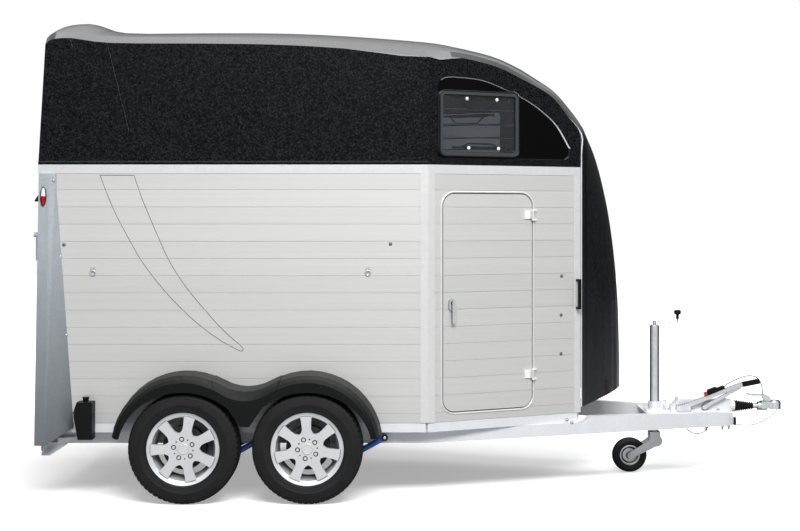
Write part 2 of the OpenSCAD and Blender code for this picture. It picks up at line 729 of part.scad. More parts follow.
module rim_shape() color("silver") {
    rotate_extrude($fn = 96) polygon([
        [bead_r - 8, -22], [rim_flange_d / 2 - 6, -14], [rim_flange_d / 2, -8],
        [rim_flange_d / 2, -15], [bead_r + 0.7, -22], [bead_r + 0.7, -50], [bead_r - 22, -70],
        [bead_r - 22, -120], [bead_r + 0.7, -145], [bead_r + 0.7, -175],
        [rim_flange_d / 2, -181], [rim_flange_d / 2, -186], [bead_r - 6, -182],
        [bead_r - 6, -147], [bead_r - 28, -122], [bead_r - 28, -68], [bead_r - 8, -48]]);
    difference() {
        rotate_extrude($fn = 96) polygon([
            [0, -24], [hub_r - 30, -24], [hub_r, -22], [spoke_r - 20, -12], [bead_r - 4, -12],
            [bead_r - 4, -32], [spoke_r - 20, -36], [hub_r, -52], [0, -56]]);
        for (k = [0 : spoke_count - 1]) rotate((k + 0.5) * 360 / spoke_count)
            translate([0, 0, -100]) linear_extrude(120) spoke_window();
        for (k = [0 : lug_count - 1]) rotate(k * 360 / lug_count)
            translate([lug_circle_d / 2, 0, -40]) cylinder(d1 = 24, d2 = 30, h = 20);
        for (k = [0 : lug_count - 1]) rotate((k + 0.5) * 360 / lug_count)
            translate([lug_circle_d / 2, 0, -32]) cylinder(d = 9, h = 20);
    }
    for (k = [0 : lug_count - 1]) rotate(k * 360 / lug_count)
        translate([lug_circle_d / 2, 0, -41]) cylinder(d = 19, h = 17, $fn = 6);
    translate([0, 0, -25]) rotate_extrude() polygon([
        [0, 0], [32, 0], [32, 3.5], [29, 6], [26, 6], [24, 4], [0, 5]]);
}

drum_r = 125;
module drum_shape() color("dimgray") difference() {
    translate([0, 0, -130]) {
        cylinder(r = drum_r, h = 60);
        cylinder(r = hub_r - 4, h = 130 - 56);
    }
    translate([0, 0, -131]) cylinder(d = stub_d + 2 * running_gap, h = 60);
    translate([0, 0, -131]) rotate_extrude() translate([32, 0]) square([drum_r - 40, 45]);
}

module wheel_tyre(i, side) wheel_place(i, side) tyre_shape();
module wheel_rim(i, side) wheel_place(i, side) rotate(i == 0 ? 27 : 41) rim_shape();
module wheel_drum(i, side) wheel_place(i, side) drum_shape();

module tyre_rear_right() wheel_tyre(0, -1);
module tyre_front_right() wheel_tyre(1, -1);
module tyre_rear_left() wheel_tyre(0, 1);
module tyre_front_left() wheel_tyre(1, 1);
module rim_rear_right() wheel_rim(0, -1);
module rim_front_right() wheel_rim(1, -1);
module rim_rear_left() wheel_rim(0, 1);
module rim_front_left() wheel_rim(1, 1);
module drum_rear_right() wheel_drum(0, -1);
module drum_front_right() wheel_drum(1, -1);
module drum_rear_left() wheel_drum(0, 1);
module drum_front_left() wheel_drum(1, 1);

// ---- Mudguards ----

guard_outer_y = tyre_face_y + 15;
guard_wall_r = tyre_r + 111;
guard_ridge_r = tyre_r + 73;
guard_valley_z = tyre_r + 334;
guard_ridge_valley_z = tyre_r + 283;
guard_end_angle = 171;

// Trace of two humps of radius r with a rounded valley between them.
function valley_r(r, valley_z) = let (h = axle_spacing / 2, v = valley_z - tyre_r)
    (h * h + v * v - r * r) / (2 * (r - v));
function hump_trace(r, valley_z) =
    let (
        rf = valley_r(r, valley_z),
        touch = acos(axle_spacing / 2 / (r + rf)),
        n = 14,
        rear = [for (k = [0 : n]) let (a = guard_end_angle + (touch - guard_end_angle) * k / n)
            [axle_xs[0] + r * cos(a), tyre_r + r * sin(a)]],
        dip = [for (k = [1 : 5]) let (a = 180 + touch + (180 - 2 * touch) * k / 6)
            [axle_mid_x + rf * cos(a), valley_z + rf + rf * sin(a)]]
    ) concat(rear, dip, [for (k = [n : -1 : 0]) [2 * axle_mid_x - rear[k][0], rear[k][1]]]);

guard_steps = [[half_width + 0.5, guard_wall_r, guard_valley_z],
    [guard_outer_y - 60, guard_wall_r - 12, guard_valley_z - 14],
    [guard_outer_y - 16, guard_ridge_r + 8, guard_ridge_valley_z + 10],
    [guard_outer_y, guard_ridge_r - 10, guard_ridge_valley_z - 10]];
guard_grid = let (traces = [for (st = guard_steps) hump_trace(st[1], st[2])])
    [for (k = [0 : len(traces[0]) - 1])
        [for (j = [0 : len(guard_steps) - 1])
            [traces[j][k][0], guard_steps[j][0], traces[j][k][1]]]];

// Overlay that straddles the valley, a few millimetres proud of the guard.
overlay_half = 235;
overlay_proud = 4;
overlay_rows = [for (k = [0 : len(guard_grid) - 1])
    if (abs(guard_grid[k][0][0] - axle_mid_x) < overlay_half) k];
overlay_grid = [for (k = overlay_rows) [for (j = [0 : len(guard_steps) - 1])
    guard_grid[k][j] + overlay_proud * grid_normal(guard_grid, k, j)]];

guard_thick = 5;
skirt_foot = [[-26, 447], [26, 447], [51, 485], [90, 540], [-90, 540], [-51, 485]];
module mudguards() color("black") both_sides() {
    shell(guard_grid, guard_thick, 0, len(guard_grid) - 1);
    shell(overlay_grid, overlay_proud + 1, 0, len(overlay_grid) - 1);
    translate([0, guard_outer_y, 0]) wall_plate(guard_thick) {
        difference() {
            polygon(concat(
                hump_trace(guard_ridge_r - 10, guard_ridge_valley_z - 10),
                [[axle_mid_x + 30, 447], [axle_mid_x - 30, 447]]));
            for (x = axle_xs) translate([x, tyre_r]) scale([1, 0.88]) circle(368, $fn = 96);
        }
        translate([axle_mid_x, 0]) polygon(skirt_foot);
    }
}

// ---- Front end ----

housing_x = jockey_x + 98;
housing_front_x = drawbar_front_x + 28;
housing_height = 73;
shaft_z = plate_z + 30;
shaft_d = 45;

// Overrun housing: a folded channel with a bolted foot flange and a round nose.
module overrun_housing() color("slategray") difference() {
    union() {
        translate([housing_x, -34, plate_z])
            cube([housing_front_x - housing_x - 20, 68, housing_height]);
        translate([housing_x, -62, plate_z]) cube([housing_front_x - housing_x - 100, 124, 8]);
        translate([housing_front_x - 30, 0, shaft_z]) rotate([0, 90, 0]) cylinder(d = 76, h = 30);
        for (x = [housing_x + 30, housing_x + 200]) translate([x, -42, plate_z])
            cube([26, 84, housing_height + 5]);
    }
    translate([housing_x + 20, 0, shaft_z]) rotate([0, 90, 0])
        cylinder(d = shaft_d + 2 * running_gap, h = 500);
    translate([housing_x - 1, 0, 0]) rotate([90, 0, 0]) linear_extrude(300, center = true)
        polygon([[0, plate_z + 30], [60, plate_z + housing_height + 10],
            [0, plate_z + housing_height + 10]]);
}

bellows_ribs = 9;
bellows_pitch = 13.5;
bellows_root = 58;
module bellows() color("black") difference() {
    translate([housing_front_x, 0, shaft_z]) rotate([0, 90, 0]) rotate_extrude() polygon(concat(
        [[0, 0]],
        [for (k = [0 : bellows_ribs - 1]) each [
            [bellows_root / 2 - 1.6 * k, k * bellows_pitch],
            [bellows_root / 2 + 10 - 2 * k, (k + 0.5) * bellows_pitch]]],
        [[17, bellows_ribs * bellows_pitch], [0, bellows_ribs * bellows_pitch]]));
    translate([housing_front_x - 1, 0, shaft_z]) rotate([0, 90, 0]) cylinder(d = 30, h = 200);
}

// Coupling head: pressed body over a 50 mm socket, with its lifting handle.
head_x = coupling_tip_x - 38;
module coupling_head() color("silver") {
    translate([housing_front_x - 250, 0, shaft_z]) rotate([0, 90, 0])
        cylinder(d = shaft_d, h = 250);
    translate([housing_front_x - 1, 0, shaft_z]) rotate([0, 90, 0]) cylinder(d = 29.5, h = 175);
    difference() {
        union() {
            translate([head_x, 0, coupling_z - 25]) cylinder(r = 38, h = 44);
            translate([head_x, 0, coupling_z + 19]) cylinder(r1 = 38, r2 = 27, h = 11);
            translate([head_x - 92, -29, coupling_z - 22]) cube([92, 58, 46]);
            translate([head_x - 112, 0, shaft_z]) rotate([0, 90, 0]) cylinder(d = 54, h = 60);
        }
        translate([head_x, 0, coupling_z - 26]) cylinder(d = ball_d, h = 39);
    }
    translate([0, 11, 0]) rotate([90, 0, 0]) linear_extrude(22) polygon([
        for (c = [[-66, 20], [-20, 28], [-40, 58], [-66, 67], [-155, 67], [-171, 76], [-181, 69],
                [-161, 59], [-84, 58]]) [head_x + c[0], coupling_z + c[1]]]);
    translate([head_x - 52, -33, coupling_z + 4]) rotate([-90, 0, 0]) cylinder(d = 22, h = 66);
}

// Handbrake: channel lever on a toothed quadrant, its spring strut and its grip.
lever_y = -58;
lever_thick = 26;
lever_base = [housing_x, plate_z];
lever_line = [lever_base + [60, 24], lever_base + [455, 178]];
lever_wide = 26;
strut_line = [lever_base + [210, 30], lever_base + [442, 158]];
grip_line = [lever_base + [450, 174], lever_base + [561, 196]];
lever_dir = (lever_line[1] - lever_line[0]) / norm(lever_line[1] - lever_line[0]);
function lever_at(along, off) = lever_line[0] + along * lever_dir
    + off * [-lever_dir[1], lever_dir[0]];
module lever_bar(line, wide, thick) {
    v = (line[1] - line[0]) / norm(line[1] - line[0]);
    n = [-v[1], v[0]] * wide / 2;
    translate([0, lever_y + thick / 2, 0]) rotate([90, 0, 0]) linear_extrude(thick)
        polygon([line[0] - n, line[1] - n, line[1] + n, line[0] + n]);
}
module handbrake_lever() color("silver") {
    difference() {
        union() {
            difference() {
                lever_bar(lever_line, lever_wide, lever_thick);
                translate([0, 0, 6]) lever_bar(lever_line, lever_wide, lever_thick - 8);
            }
            lever_bar(strut_line, 22, 14);
            translate([housing_x + 450, lever_y - 15, plate_z + 166]) rotate([-90, 0, 0]) cylinder(d = 22, h = 30);
        }
        lever_bar(grip_line, 28, 40);
    }
    translate([housing_x + 60, lever_y - 13, plate_z + 8]) rotate([-90, 0, 0]) linear_extrude(22)
        polygon(concat([[-30, 0], [-30, -30]],
            [for (k = [0 : 6]) each [[-22 + 12 * k, -34 - 3 * k], [-16 + 12 * k, -26 - 3 * k]]],
            [[66, 0]]));
    translate([housing_x + 210, lever_y - 15, plate_z + 30]) rotate([-90, 0, 0])
        cylinder(d = 30, h = -lever_y + 15 - 42);
}
module lever_grip() color("black") lever_bar(grip_line, 28, 30);

// Plug of the light cable, parked on top of the lever.
module parked_plug() color("black") {
    lever_bar([lever_at(172, lever_wide / 2 + 11), lever_at(306, lever_wide / 2 + 11)], 22, 30);
    lever_bar([lever_at(196, lever_wide / 2 + 16), lever_at(256, lever_wide / 2 + 16)], 32, 36);
}

// Round cable swept along a route that stays close to one upright plane.
cable_sides = 8;
module cable(route, d) {
    n = len(route);
    rings = [for (i = [0 : n - 1])
        let (v = route[min(i + 1, n - 1)] - route[max(i - 1, 0)], t = v / norm(v),
            w = cross(t, [0, 1, 0]))
            for (k = [0 : cable_sides - 1]) let (a = k * 360 / cable_sides)
                route[i] + d / 2 * (cos(a) * w + sin(a) * [0, 1, 0])];
    last = (n - 1) * cable_sides;
    polyhedron(rings, concat(
        [[for (k = [0 : cable_sides - 1]) k]],
        [[for (k = [cable_sides - 1 : -1 : 0]) last + k]],
        [for (i = [0 : n - 2], k = [0 : cable_sides - 1])
            let (a = i * cable_sides + k, b = i * cable_sides + (k + 1) % cable_sides)
                each [[a, a + cable_sides, b + cable_sides], [a, b + cable_sides, b]]]));
}
function in_plane(points, y_start, y_end) = let (x0 = points[0][0],
    run = points[len(points) - 1][0] - x0)
    [for (p = smooth(points, 3)) [p[0], y_start + (y_end - y_start) * (p[0] - x0) / run, p[1]]];

// Cable from the parked plug over to the coupling, free loop of the brake wire under the
// right rail, and the breakaway line.
arc_route = in_plane([lever_at(306.3, lever_wide / 2 + 11), lever_at(345, lever_wide / 2 + 22),
    [2040, 612], [2100, 618], [2146, 600], [2170, 552], [2176, 497.3]], lever_y, -6);
loop_route = in_plane([[1655, 310.4], [1668, 288], [1706, 270], [1745, 271], [1778, 288],
    [1790, 310.4]], -157, -157);
line_route = in_plane([[drawbar_front_x - 2, 318], [2040, 305], [2120, 310], [2200, 345],
    [2262, 404]], -34, -34);
module brake_wires() color("gray") {
    cable(arc_route, 6);
    cable(loop_route, 5);
    cable(line_route, 4);
}

jockey_bore_d = jockey_tube_d - 8;
crank_reach = 148;
module jockey_tube() color("silver") {
    difference() {
        translate([jockey_x, 0, rail_bottom_z + 20])
            cylinder(d = jockey_tube_d, h = jockey_top_z - rail_bottom_z - 20);
        translate([jockey_x, 0, rail_bottom_z + 19])
            cylinder(d = jockey_bore_d, h = 300);
    }
    translate([jockey_x, 0, jockey_top_z - eps]) cylinder(d1 = jockey_tube_d - 2,
        d2 = jockey_tube_d - 12, h = 6);
    rod([jockey_x, 0, jockey_top_z], [jockey_x, 0, jockey_top_z + 34], 20);
    rod([jockey_x, 0, jockey_top_z + 22], [jockey_x + crank_reach, 0, jockey_top_z + 22], 10);
    rod([jockey_x + crank_reach, 0, jockey_top_z + 17],
        [jockey_x + crank_reach, 0, jockey_top_z + 60], 10);
}

module crank_knob() color("black") translate([jockey_x + crank_reach, 0, jockey_top_z + 46])
    rotate_extrude() polygon([[5.02, 0], [9, 0], [9, 26], [22, 34], [22, 52], [17, 57], [0, 57],
        [0, 14.1], [5.02, 14.1]]);

module jockey_clamp() color("slategray") difference() {
    union() {
        translate([jockey_x - 60, -60, plate_z]) cube([140, 120, 10]);
        translate([jockey_x, 0, plate_z]) cylinder(d = jockey_tube_d + 20, h = 60);
        translate([jockey_x + 24, -12, plate_z]) cube([44, 24, 66]);
        translate([jockey_x + 56, -46, plate_z + 42]) rotate([-90, 0, 0]) cylinder(d = 14, h = 92);
        for (k = [0 : 4]) translate([jockey_x + 62, -17, plate_z + 14 + 12 * k])
            cube([16, 34, 7]);
    }
    translate([jockey_x, 0, 0]) cylinder(d = jockey_tube_d + 2 * running_gap, h = 800);
}

jockey_axle_x = jockey_x - jockey_trail;
jockey_axle_z = jockey_wheel_d / 2;
fork_inner_y = 42;
fork_thick = 6;
lobe = [jockey_x + 6, 204];
lobe_r = 50;
module fork_cheek() {
    v = lobe - [jockey_axle_x, jockey_axle_z];
    a = atan2(v[1], v[0]);
    side = asin((lobe_r - 20 - 19) / norm(v));
    translate([jockey_axle_x, jockey_axle_z]) circle(19);
    translate(lobe) circle(lobe_r - 20);
    translate([jockey_axle_x, jockey_axle_z]) polygon([
        19 * [cos(a + 90 + side), sin(a + 90 + side)],
        v + (lobe_r - 20) * [cos(a + 90 + side), sin(a + 90 + side)],
        v + (lobe_r - 20) * [cos(a - 90 - side), sin(a - 90 - side)],
        19 * [cos(a - 90 - side), sin(a - 90 - side)]]);
    translate([jockey_x - 36, 204]) square([66, 58]);
    translate(lobe) circle(lobe_r - 14);
}
module jockey_fork() color("silver") {
    translate([jockey_x, 0, 250]) cylinder(d = jockey_bore_d - 1, h = 290);
    translate([jockey_x - 36, -fork_inner_y - 2, 252])
        cube([66, 2 * fork_inner_y + 4, 10]);
    both_sides() translate([0, fork_inner_y + fork_thick, 0]) wall_plate(fork_thick) fork_cheek();
    translate([jockey_axle_x, -fork_inner_y - 16, jockey_axle_z]) rotate([-90, 0, 0])
        cylinder(d = 20, h = 2 * fork_inner_y + 32);
}

// Solid jockey tyre on a dished steel rim.
jockey_rim_r = 64;
jockey_tyre_w = 64;
module jockey_wheel() color("black") translate([jockey_axle_x, 0, jockey_axle_z])
    rotate([90, 0, 0]) rotate_extrude($fn = 96) polygon([
        [jockey_rim_r + 0.02, -24], [jockey_rim_r + 6, -28], [88, -jockey_tyre_w / 2],
        [102, -24], [jockey_wheel_d / 2 - 3, -15], [jockey_wheel_d / 2, -6],
        [jockey_wheel_d / 2, 6], [jockey_wheel_d / 2 - 3, 15], [102, 24],
        [88, jockey_tyre_w / 2], [jockey_rim_r + 6, 28], [jockey_rim_r + 0.02, 24]]);

module jockey_rim() color("silver") translate([jockey_axle_x, 0, jockey_axle_z])
    rotate([90, 0, 0]) rotate_extrude($fn = 96) {
        half = [[10 + running_gap, 36], [16, 36], [20, 20], [26, 12], [44, 12], [52, 24],
            [58, 28], [jockey_rim_r, 26]];
        polygon(concat(half, [for (i = [len(half) - 1 : -1 : 0]) [half[i][0], -half[i][1]]]));
    }

// ---- Fittings ----

module dampers() color("royalblue") both_sides() for (x = axle_xs) {
    rod([x + 438, damper_y, rail_top_z - 32], [x + 170, damper_y, damper_foot_z], 34);
    translate([x + 438, rail_outer_y, rail_top_z - 32]) rotate([-90, 0, 0])
        cylinder(d = 30, h = damper_y + 17 - rail_outer_y);
    translate([x + 170, rail_outer_y + arm_thick, damper_foot_z]) rotate([-90, 0, 0])
        cylinder(d = 30, h = damper_y + 17 - rail_outer_y - arm_thick);
}

// Chock in its bracket beside the rear post.
chock_x = rear_x + 212;
chock_z = 354;
module wheel_chocks() color("black") both_sides() {
    translate([chock_x, half_width + 90, chock_z]) wall_plate(90) {
        polygon([[29, 0], [111, 0], [112, 142], [4, 142]]);
        polygon([[8, 140], [106, 140], [106, 150], [8, 150]]);
        polygon([[0, 148], [112, 148], [112, 216], [23, 216]]);
    }
    translate([chock_x + 67, half_width + 45, chock_z + 215]) cylinder(d1 = 30, d2 = 40, h = 27);
}

// Rubber buffers of the open rear doorway, on the posts.
module post_buffers() color("black") both_sides()
    translate([rear_x, half_width - 20, wall_top_z - 163]) rotate([90, 0, 0]) linear_extrude(30)
        polygon([[0, 0], [0, 58], [-34, 8], [-34, 0]]);

module tail_lamps() color("crimson") both_sides()
    translate([rear_x - 14, half_width - 315, bumper_bottom_z + 12]) cube([22, 220, 54]);

marker_z = wall_top_z - 133;
module side_markers() color("crimson") both_sides()
    translate([rear_x + 30, post_face_y(marker_z), marker_z]) rotate([post_slope - 90, 0, 0])
        scale([1, 3.2, 1]) cylinder(d = 36, h = 10);

grab_z = wall_top_z - 817;
grab_height = 184;
module grab_handles() color("black") both_sides() on_front_wall()
    translate([front_wall_length - 22, strip_thick, 0]) {
        for (z = [grab_z, grab_z + grab_height - 14]) translate([-9, 0, z]) cube([18, 30, 14]);
        translate([-9, 22, grab_z]) cube([18, 12, grab_height]);
    }

module tie_rings() color("silver") both_sides()
    for (x = [wall_rear_x + 210, kink_x - 350]) translate([x, half_width, wall_top_z - 560]) {
        translate([-14, 0, -14]) cube([28, 4, 28]);
        translate([0, 6, -18]) rotate([90, 0, 0]) rotate_extrude() translate([14, 0])
            circle(d = 6);
    }

// Partition board between two posts that stand on the floor.
partition_rear_x = wall_rear_x + 300;
partition_front_x = kink_x + 20;
partition_thick = 40;
partition_bottom_z = floor_z + 460;
partition_height = 800;
partition_post_d = 40;
module partition() color("tan") {
    translate([partition_rear_x, -partition_thick / 2, partition_bottom_z])
        cube([partition_front_x - partition_rear_x, partition_thick, partition_height]);
    for (x = [partition_rear_x, partition_front_x]) translate([x, 0, floor_z + floor_thick])
        cylinder(d = partition_post_d, h = wall_top_z + 75 - floor_z - floor_thick);
}

// Breast and breeching bars from the partition to the walls.
stall_bar_d = 40;
stall_bar_z = floor_z + 810;
module stall_bars() color("gray") both_sides()
    for (x = [partition_rear_x + 50, kink_x - 70])
        translate([x, partition_thick / 2, stall_bar_z]) rotate([-90, 0, 0])
            cylinder(d = stall_bar_d, h = half_width - wall_thick - partition_thick / 2);

// Roller of the rear curtain, across the hood's rear opening.
roller_d = 70;
roller_z = roof_z - 230;
module tarp_roller() color("gray")
    translate([rear_x + 80, -half_width + hood_thick, roller_z]) rotate([-90, 0, 0])
        cylinder(d = roller_d, h = body_width - 2 * hood_thick);

side_walls();
front_walls();
front_panel();
floor_board();
floor_mats();
body_rails();
rear_posts();
hood();
nose_cap();
window_frames();
window_panes();
door_left();
door_right();
door_hinges();
door_handle_left();
door_handle_right();
ramp();
ramp_latches();
chassis_frame();
drawbar();
axles();
tyre_rear_right();
tyre_front_right();
tyre_rear_left();
tyre_front_left();
rim_rear_right();
rim_front_right();
rim_rear_left();
rim_front_left();
drum_rear_right();
drum_front_right();
drum_rear_left();
drum_front_left();
mudguards();
overrun_housing();
bellows();
coupling_head();
handbrake_lever();
lever_grip();
parked_plug();
brake_wires();
jockey_tube();
crank_knob();
jockey_clamp();
jockey_fork();
jockey_wheel();
jockey_rim();
dampers();
wheel_chocks();
post_buffers();
tail_lamps();
side_markers();
grab_handles();
tie_rings();
partition();
stall_bars();
tarp_roller();
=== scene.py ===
"""Horse trailer: finishes, small fittings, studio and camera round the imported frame."""
import json
import math

import bmesh
import bpy
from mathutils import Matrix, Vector


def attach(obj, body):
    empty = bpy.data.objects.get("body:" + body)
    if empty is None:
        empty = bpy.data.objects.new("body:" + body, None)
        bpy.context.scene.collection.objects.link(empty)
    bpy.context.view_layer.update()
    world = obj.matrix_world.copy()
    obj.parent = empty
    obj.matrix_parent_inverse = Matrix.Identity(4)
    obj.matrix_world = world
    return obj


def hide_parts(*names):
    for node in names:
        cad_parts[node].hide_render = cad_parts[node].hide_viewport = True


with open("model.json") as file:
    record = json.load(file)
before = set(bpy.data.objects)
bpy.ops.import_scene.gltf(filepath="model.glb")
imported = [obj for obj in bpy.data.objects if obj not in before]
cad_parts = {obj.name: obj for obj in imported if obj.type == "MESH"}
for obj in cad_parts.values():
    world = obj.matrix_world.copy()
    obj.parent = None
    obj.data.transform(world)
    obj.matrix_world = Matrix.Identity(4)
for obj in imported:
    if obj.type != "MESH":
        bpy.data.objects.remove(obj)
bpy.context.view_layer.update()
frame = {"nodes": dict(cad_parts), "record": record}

MM = 0.001
WHITE = (1, 1, 1, 1)

# Places on the trailer that the fittings below share, in metres.
HALF_WIDTH = 0.875
KINK_X = 0.010
CORNER_X = 0.950
CORNER_Y = 0.420
REAR_X = -2.250
WALL_ANGLE = math.atan2(HALF_WIDTH - CORNER_Y, CORNER_X - KINK_X)
WALL_SIN = math.sin(WALL_ANGLE)
WALL_COS = math.cos(WALL_ANGLE)
RECESS_START_X = 0.060
RECESS_DEPTH = 0.008
MIDDLE = (-0.600, 0, 1.200)
WALL_TOP_Z = 1.890
PLANK_PITCH = 0.100
SIDES = {"right": -1, "left": 1}
AXLES = {"rear": -1.387, "front": -0.681}
TYRE_R = 0.31725
TYRE_WIDTH = 0.195
TYRE_FACE_Y = 1.080
SPOKE_INSET = 0.012
SPOKE_FACE_Y = TYRE_FACE_Y - SPOKE_INSET

# Camera, from the photograph's perspective: it stands level on the trailer's right side.
IMAGE_WIDTH = 800
IMAGE_HEIGHT = 531
FOCAL_PX = 1423
HORIZON_PX = 217
SENSOR_MM = 36
CAMERA_PLACE = (-0.154, -9.15, 1.637)

camera_data = bpy.data.cameras.new("camera")
camera_data.sensor_width = SENSOR_MM
camera_data.lens = FOCAL_PX / IMAGE_WIDTH * SENSOR_MM
camera_data.shift_y = (HORIZON_PX - IMAGE_HEIGHT / 2) / IMAGE_WIDTH
camera = bpy.data.objects.new("camera", camera_data)
camera.location = CAMERA_PLACE
camera.rotation_euler = (math.radians(90), 0, 0)
bpy.context.scene.collection.objects.link(camera)
bpy.context.scene.camera = camera


# Materials

def colour(hex_code):
    """Linear colour of an sRGB hex value."""
    parts = [int(hex_code[i:i + 2], 16) / 255 for i in (1, 3, 5)]
    return [c / 12.92 if c <= 0.04045 else ((c + 0.055) / 1.055) ** 2.4 for c in parts] + [1.0]


def tones(low, high):
    """Values of a colour mix between two hex colours."""
    return {6: colour(low), 7: colour(high)}


def add(tree, kind, values=None, links=None, to=None, **settings):
    """Adds a shader node: its settings, input values, and links from and to other sockets."""
    made = tree.nodes.new("ShaderNode" + kind)
    for name, value in settings.items():
        setattr(made, name, value)
    for name, value in (values or {}).items():
        made.inputs[name].default_value = value
    for name, source in (links or {}).items():
        tree.links.new(source, made.inputs[name])
    for name, target in (to or {}).items():
        tree.links.new(made.outputs[name], target)
    return made


def start(name, **surface):
    """New material: its tree, its Principled surface and the object's coordinates in mm."""
    material = bpy.data.materials.new(name)
    material.use_nodes = True
    tree = material.node_tree
    tree.nodes.clear()
    shader = add(tree, "BsdfPrincipled", {k.replace("_", " "): v for k, v in surface.items()})
    add(tree, "OutputMaterial", links={"Surface": shader.outputs["BSDF"]})
    place = add(tree, "TexCoord").outputs["Object"]
    mm = add(tree, "VectorMath", {1: (1000, 1000, 1000)}, {0: place}, operation="MULTIPLY")
    return material, tree, shader, mm.outputs[0]


def per_mm(size):
    """Scale of a pattern whose grains are that many millimetres apart."""
    return 1 / size


def anodised_planks():
    # Anodised aluminium extrusion: pale satin silver, each plank a little different in tone.
    material, tree, shader, mm = start("anodised_aluminium_planks", Metallic=0.35, Roughness=0.45)
    # Fine lines from the die run along each plank.
    stretched = add(tree, "VectorMath", {1: (0.004, 0.004, 1)}, {0: mm}, operation="MULTIPLY")
    lines = add(tree, "TexNoise", {"Scale": per_mm(7), "Detail": 3.0},
                {"Vector": stretched.outputs[0]})
    height = add(tree, "SeparateXYZ", links={0: mm})
    # The joints lie 6 mm under the full hundreds, so the planks are counted from there.
    raised = add(tree, "Math", {1: 6.0}, {0: height.outputs["Z"]}, operation="ADD")
    count = add(tree, "Math", {1: MM / PLANK_PITCH}, {0: raised.outputs[0]},
                operation="MULTIPLY")
    plank = add(tree, "Math", links={0: count.outputs[0]}, operation="FLOOR")
    tone = add(tree, "TexWhiteNoise", links={"W": plank.outputs[0]}, noise_dimensions="1D")
    both = add(tree, "Mix", {0: 0.4}, {2: lines.outputs["Fac"], 3: tone.outputs["Value"]})
    add(tree, "Mix", tones("#CDCDCB", "#D8D8D7"), {0: both.outputs[0]},
        {2: shader.inputs["Base Color"]}, data_type="RGBA")
    add(tree, "MapRange", {"To Min": 0.4, "To Max": 0.5}, {"Value": lines.outputs["Fac"]},
        {"Result": shader.inputs["Roughness"]})
    return material


def bright_trim():
    # Bright anodised extrusion: smoother and whiter than the planks.
    material, tree, shader, mm = start("bright_anodised_trim", Metallic=0.35, Roughness=0.35)
    grain = add(tree, "TexNoise", {"Scale": per_mm(30), "Detail": 3.0}, {"Vector": mm})
    add(tree, "Mix", tones("#DDDDDD", "#E9E9E9"), {0: grain.outputs["Fac"]},
        {2: shader.inputs["Base Color"]}, data_type="RGBA")
    add(tree, "MapRange", {"To Min": 0.3, "To Max": 0.4}, {"Value": grain.outputs["Fac"]},
        {"Result": shader.inputs["Roughness"]})
    return material


def galvanised_steel(name, dark, light, metallic, painted_foot_shade):
    # Hot-dip galvanised steel: blue-grey zinc with fine spangles, drawn smooth along the run-off,
    # and a painted shade that darkens it towards the foot by the given share.
    material, tree, shader, mm = start(name, Metallic=metallic, Roughness=0.4)
    spangle = add(tree, "TexVoronoi", {"Scale": per_mm(7)}, {"Vector": mm})
    tone = add(tree, "SeparateColor", links={"Color": spangle.outputs["Color"]})
    streaks = add(tree, "VectorMath", {1: (1, 1, 0.25)}, {0: mm}, operation="MULTIPLY")
    clouds = add(tree, "TexNoise", {"Scale": per_mm(120), "Detail": 3.0},
                 {"Vector": streaks.outputs[0]})
    mixed = add(tree, "Mix", {0: 0.75}, {2: tone.outputs["Red"], 3: clouds.outputs["Fac"]})
    # Painted shade: from 1500 mm down to 250 mm the colour is darkened to the given share of
    # itself.
    height = add(tree, "SeparateXYZ", links={0: mm})
    foot = add(tree, "MapRange", {"From Min": 250.0, "From Max": 1500.0, "To Min": painted_foot_shade},
               {"Value": height.outputs["Z"]})
    zinc = add(tree, "Mix", tones(dark, light), {0: mixed.outputs[0]}, data_type="RGBA")
    add(tree, "VectorMath", None, {0: zinc.outputs[2], "Scale": foot.outputs["Result"]},
        {0: shader.inputs["Base Color"]}, operation="SCALE")
    add(tree, "MapRange", {"To Min": 0.34, "To Max": 0.46}, {"Value": tone.outputs["Green"]},
        {"Result": shader.inputs["Roughness"]})
    add(tree, "Bump", {"Strength": 0.3, "Distance": 0.15 * MM}, {"Height": clouds.outputs["Fac"]},
        {"Normal": shader.inputs["Normal"]})
    return material


